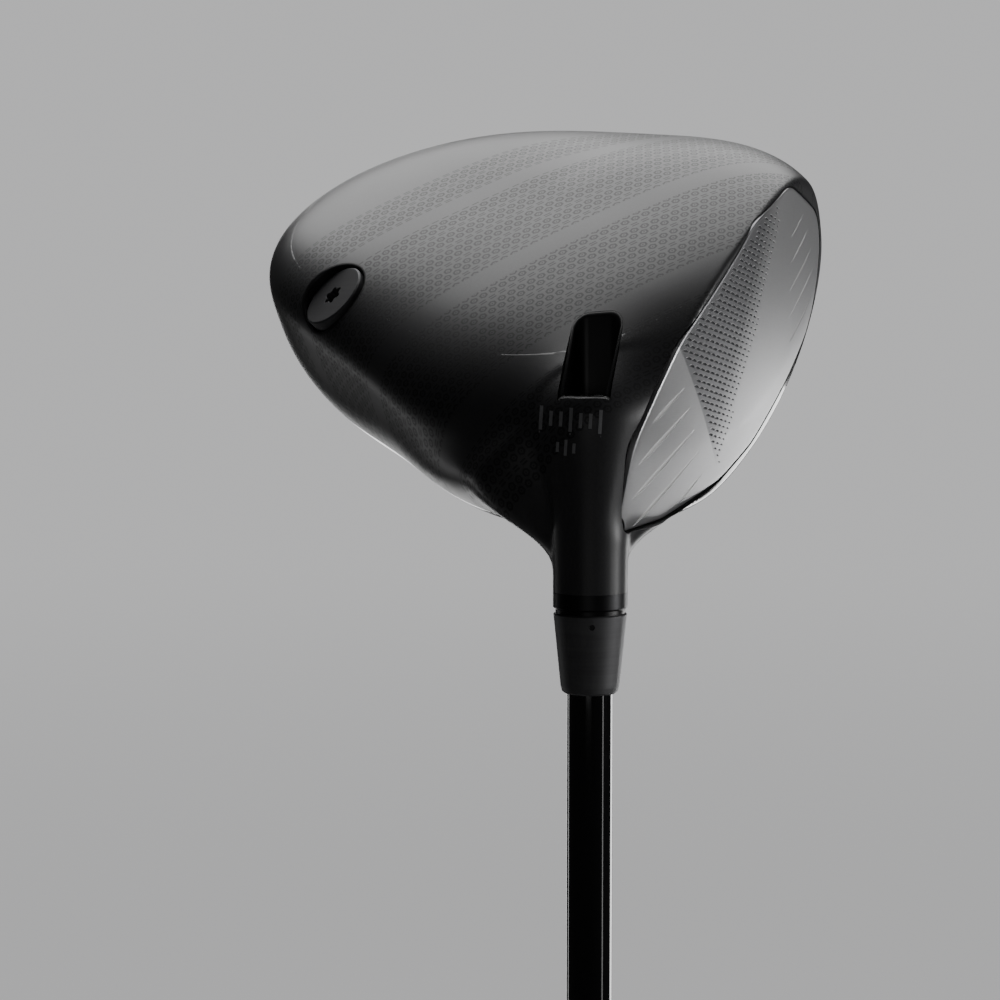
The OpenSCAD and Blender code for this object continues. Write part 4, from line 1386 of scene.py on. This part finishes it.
def disc(name, radius, rings=40, count=96):
    points = [(0, 0, 0)]
    for k in range(1, rings + 1):
        ring_radius = radius * k / rings
        for i in range(count):
            angle = 2 * math.pi * i / count
            points.append((ring_radius * math.cos(angle), ring_radius * math.sin(angle), 0))
    faces = [(0, 1 + i, 1 + (i + 1) % count) for i in range(count)]
    for k in range(rings - 1):
        for i in range(count):
            a, b = 1 + k * count + i, 1 + k * count + (i + 1) % count
            faces.append((a, a + count, b + count, b))
    return mesh_object(name, points, faces, in_head=False)


def floor_material():
    """Pale ground with a glow only the camera sees, fading to clear far from the origin."""
    shader = Shader("floor_pale", (0.52, 0.52, 0.52), rough=0.9)
    geometry = shader.node("ShaderNodeNewGeometry")
    length = shader.node("ShaderNodeVectorMath", operation="LENGTH")
    shader.put(length.inputs[0], geometry.outputs["Position"])
    light_path = shader.node("ShaderNodeLightPath")
    glow = shader.node("ShaderNodeEmission")
    shader.put(glow.inputs["Color"], BACKDROP)
    shader.put(glow.inputs["Strength"], shader.mul(light_path.outputs["Is Camera Ray"], 0.80))
    both = shader.node("ShaderNodeAddShader")
    shader.put(both.inputs[0], shader.surface.outputs[0])
    shader.put(both.inputs[1], glow.outputs[0])
    clear = shader.node("ShaderNodeBsdfTransparent")
    blend = shader.node("ShaderNodeMixShader")
    shader.put(blend.inputs[0], shader.ramp(length.outputs["Value"], start=1.5, end=11.0))
    shader.put(blend.inputs[1], both.outputs[0])
    shader.put(blend.inputs[2], clear.outputs[0])
    shader.put(shader.tree.nodes["Material Output"].inputs[0], blend.outputs[0])
    return shader.material


def build_floor():
    floor = disc("floor", 14.0)
    floor.location.z = -0.001
    floor.data.materials.append(floor_material())
    floor.visible_glossy = False


# ------------------------------------------------------------------ world and lights
def build_world():
    """Pale backdrop to the camera, nearly black to everything else."""
    world = bpy.data.worlds.new("studio")
    bpy.context.scene.world = world
    world.use_nodes = True
    tree = world.node_tree
    background = tree.nodes["Background"]
    light_path = tree.nodes.new("ShaderNodeLightPath")
    mix = tree.nodes.new("ShaderNodeMix")
    mix.data_type = "RGBA"
    mix.inputs[6].default_value = (0.014, 0.014, 0.0145, 1)
    mix.inputs[7].default_value = BACKDROP
    tree.links.new(light_path.outputs["Is Camera Ray"], mix.inputs[0])
    tree.links.new(mix.outputs[2], background.inputs["Color"])
    background.inputs["Strength"].default_value = 1.0


HEAD_TARGET = (0.0, 0.03, 1.15)


def area(name, place, size, power, target=HEAD_TARGET, size_y=None, spread=180.0):
    """Area light aimed at a target: metres, watts and degrees."""
    light = bpy.data.lights.new(name, "AREA")
    light.energy, light.size = power, size
    if size_y:
        light.shape, light.size_y = "RECTANGLE", size_y
    light.spread = math.radians(spread)
    lamp = bpy.data.objects.new(name, light)
    bpy.context.scene.collection.objects.link(lamp)
    lamp.location = Vector(place)
    lamp.rotation_mode = "QUATERNION"
    lamp.rotation_quaternion = (Vector(target) - Vector(place)).to_track_quat("-Z", "Y")
    lamp.visible_camera = False


def add_lights():
    area("key_top", (-0.50, 0.85, 2.55), size=1.8, power=27.0)
    area("face_glow", (0.14, 1.66, 0.52), size=0.6, power=6.0, size_y=0.9)
    area("face_wash", (2.3, 1.1, 1.25), size=0.7, power=7.0, spread=110.0)
    area("rim_left", (-1.20, 1.50, 0.95), size=0.40, power=3.4, size_y=1.4)
    area("strip_right", (1.9, 0.25, 0.7), size=0.16, power=1.6, target=(0, 0, 0.95), size_y=1.4)
    area("strip_left", (-1.7, 0.45, 0.25), size=0.14, power=1.2, target=(0, 0, 0.55), size_y=1.2)
    area("fill_front", (0.9, -2.4, 1.3), size=1.4, power=1.4, target=(0, 0, 0.6))


# ------------------------------------------------------------------ build
dress_cad_pieces()
skin = build_skin()
well = build_well(skin)
cup = build_cup(skin)
cut_face_opening(skin)
rim = hug(arc_hull(FACE_CIRCLES, grow=0.0, step=0.9), margin=0.89)
plate = build_plate(rim)
bead = build_bead()
fill = build_scores(plate)
etch_plate(plate, rim)
crown, sole = split_skin(skin)
bond = build_bond()
add_camera()
ticks = build_ticks()

# piece, the CAD piece it replaces, colour slot
for piece, cad_name, slot in (
    (skin, "head_body", "body_satin_black"),
    (crown, "crown_shell", "crown_gloss_black"),
    (sole, "sole_shell", "sole_satin_grey"),
    (plate, "face_plate", "face_brushed"),
    (fill, None, "face_brushed"),
    (bond, "crown_bond", "body_satin_black"),
    (bead, "face_weld", "face_brushed"),
    (well, "screw_well", "body_satin_black"),
    (cup, "weight_port", "body_satin_black"),
    (ticks, None, "body_satin_black"),
):
    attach(piece, "head")
    if cad_name:
        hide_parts(cad_name)

build_floor()
build_world()
add_lights()
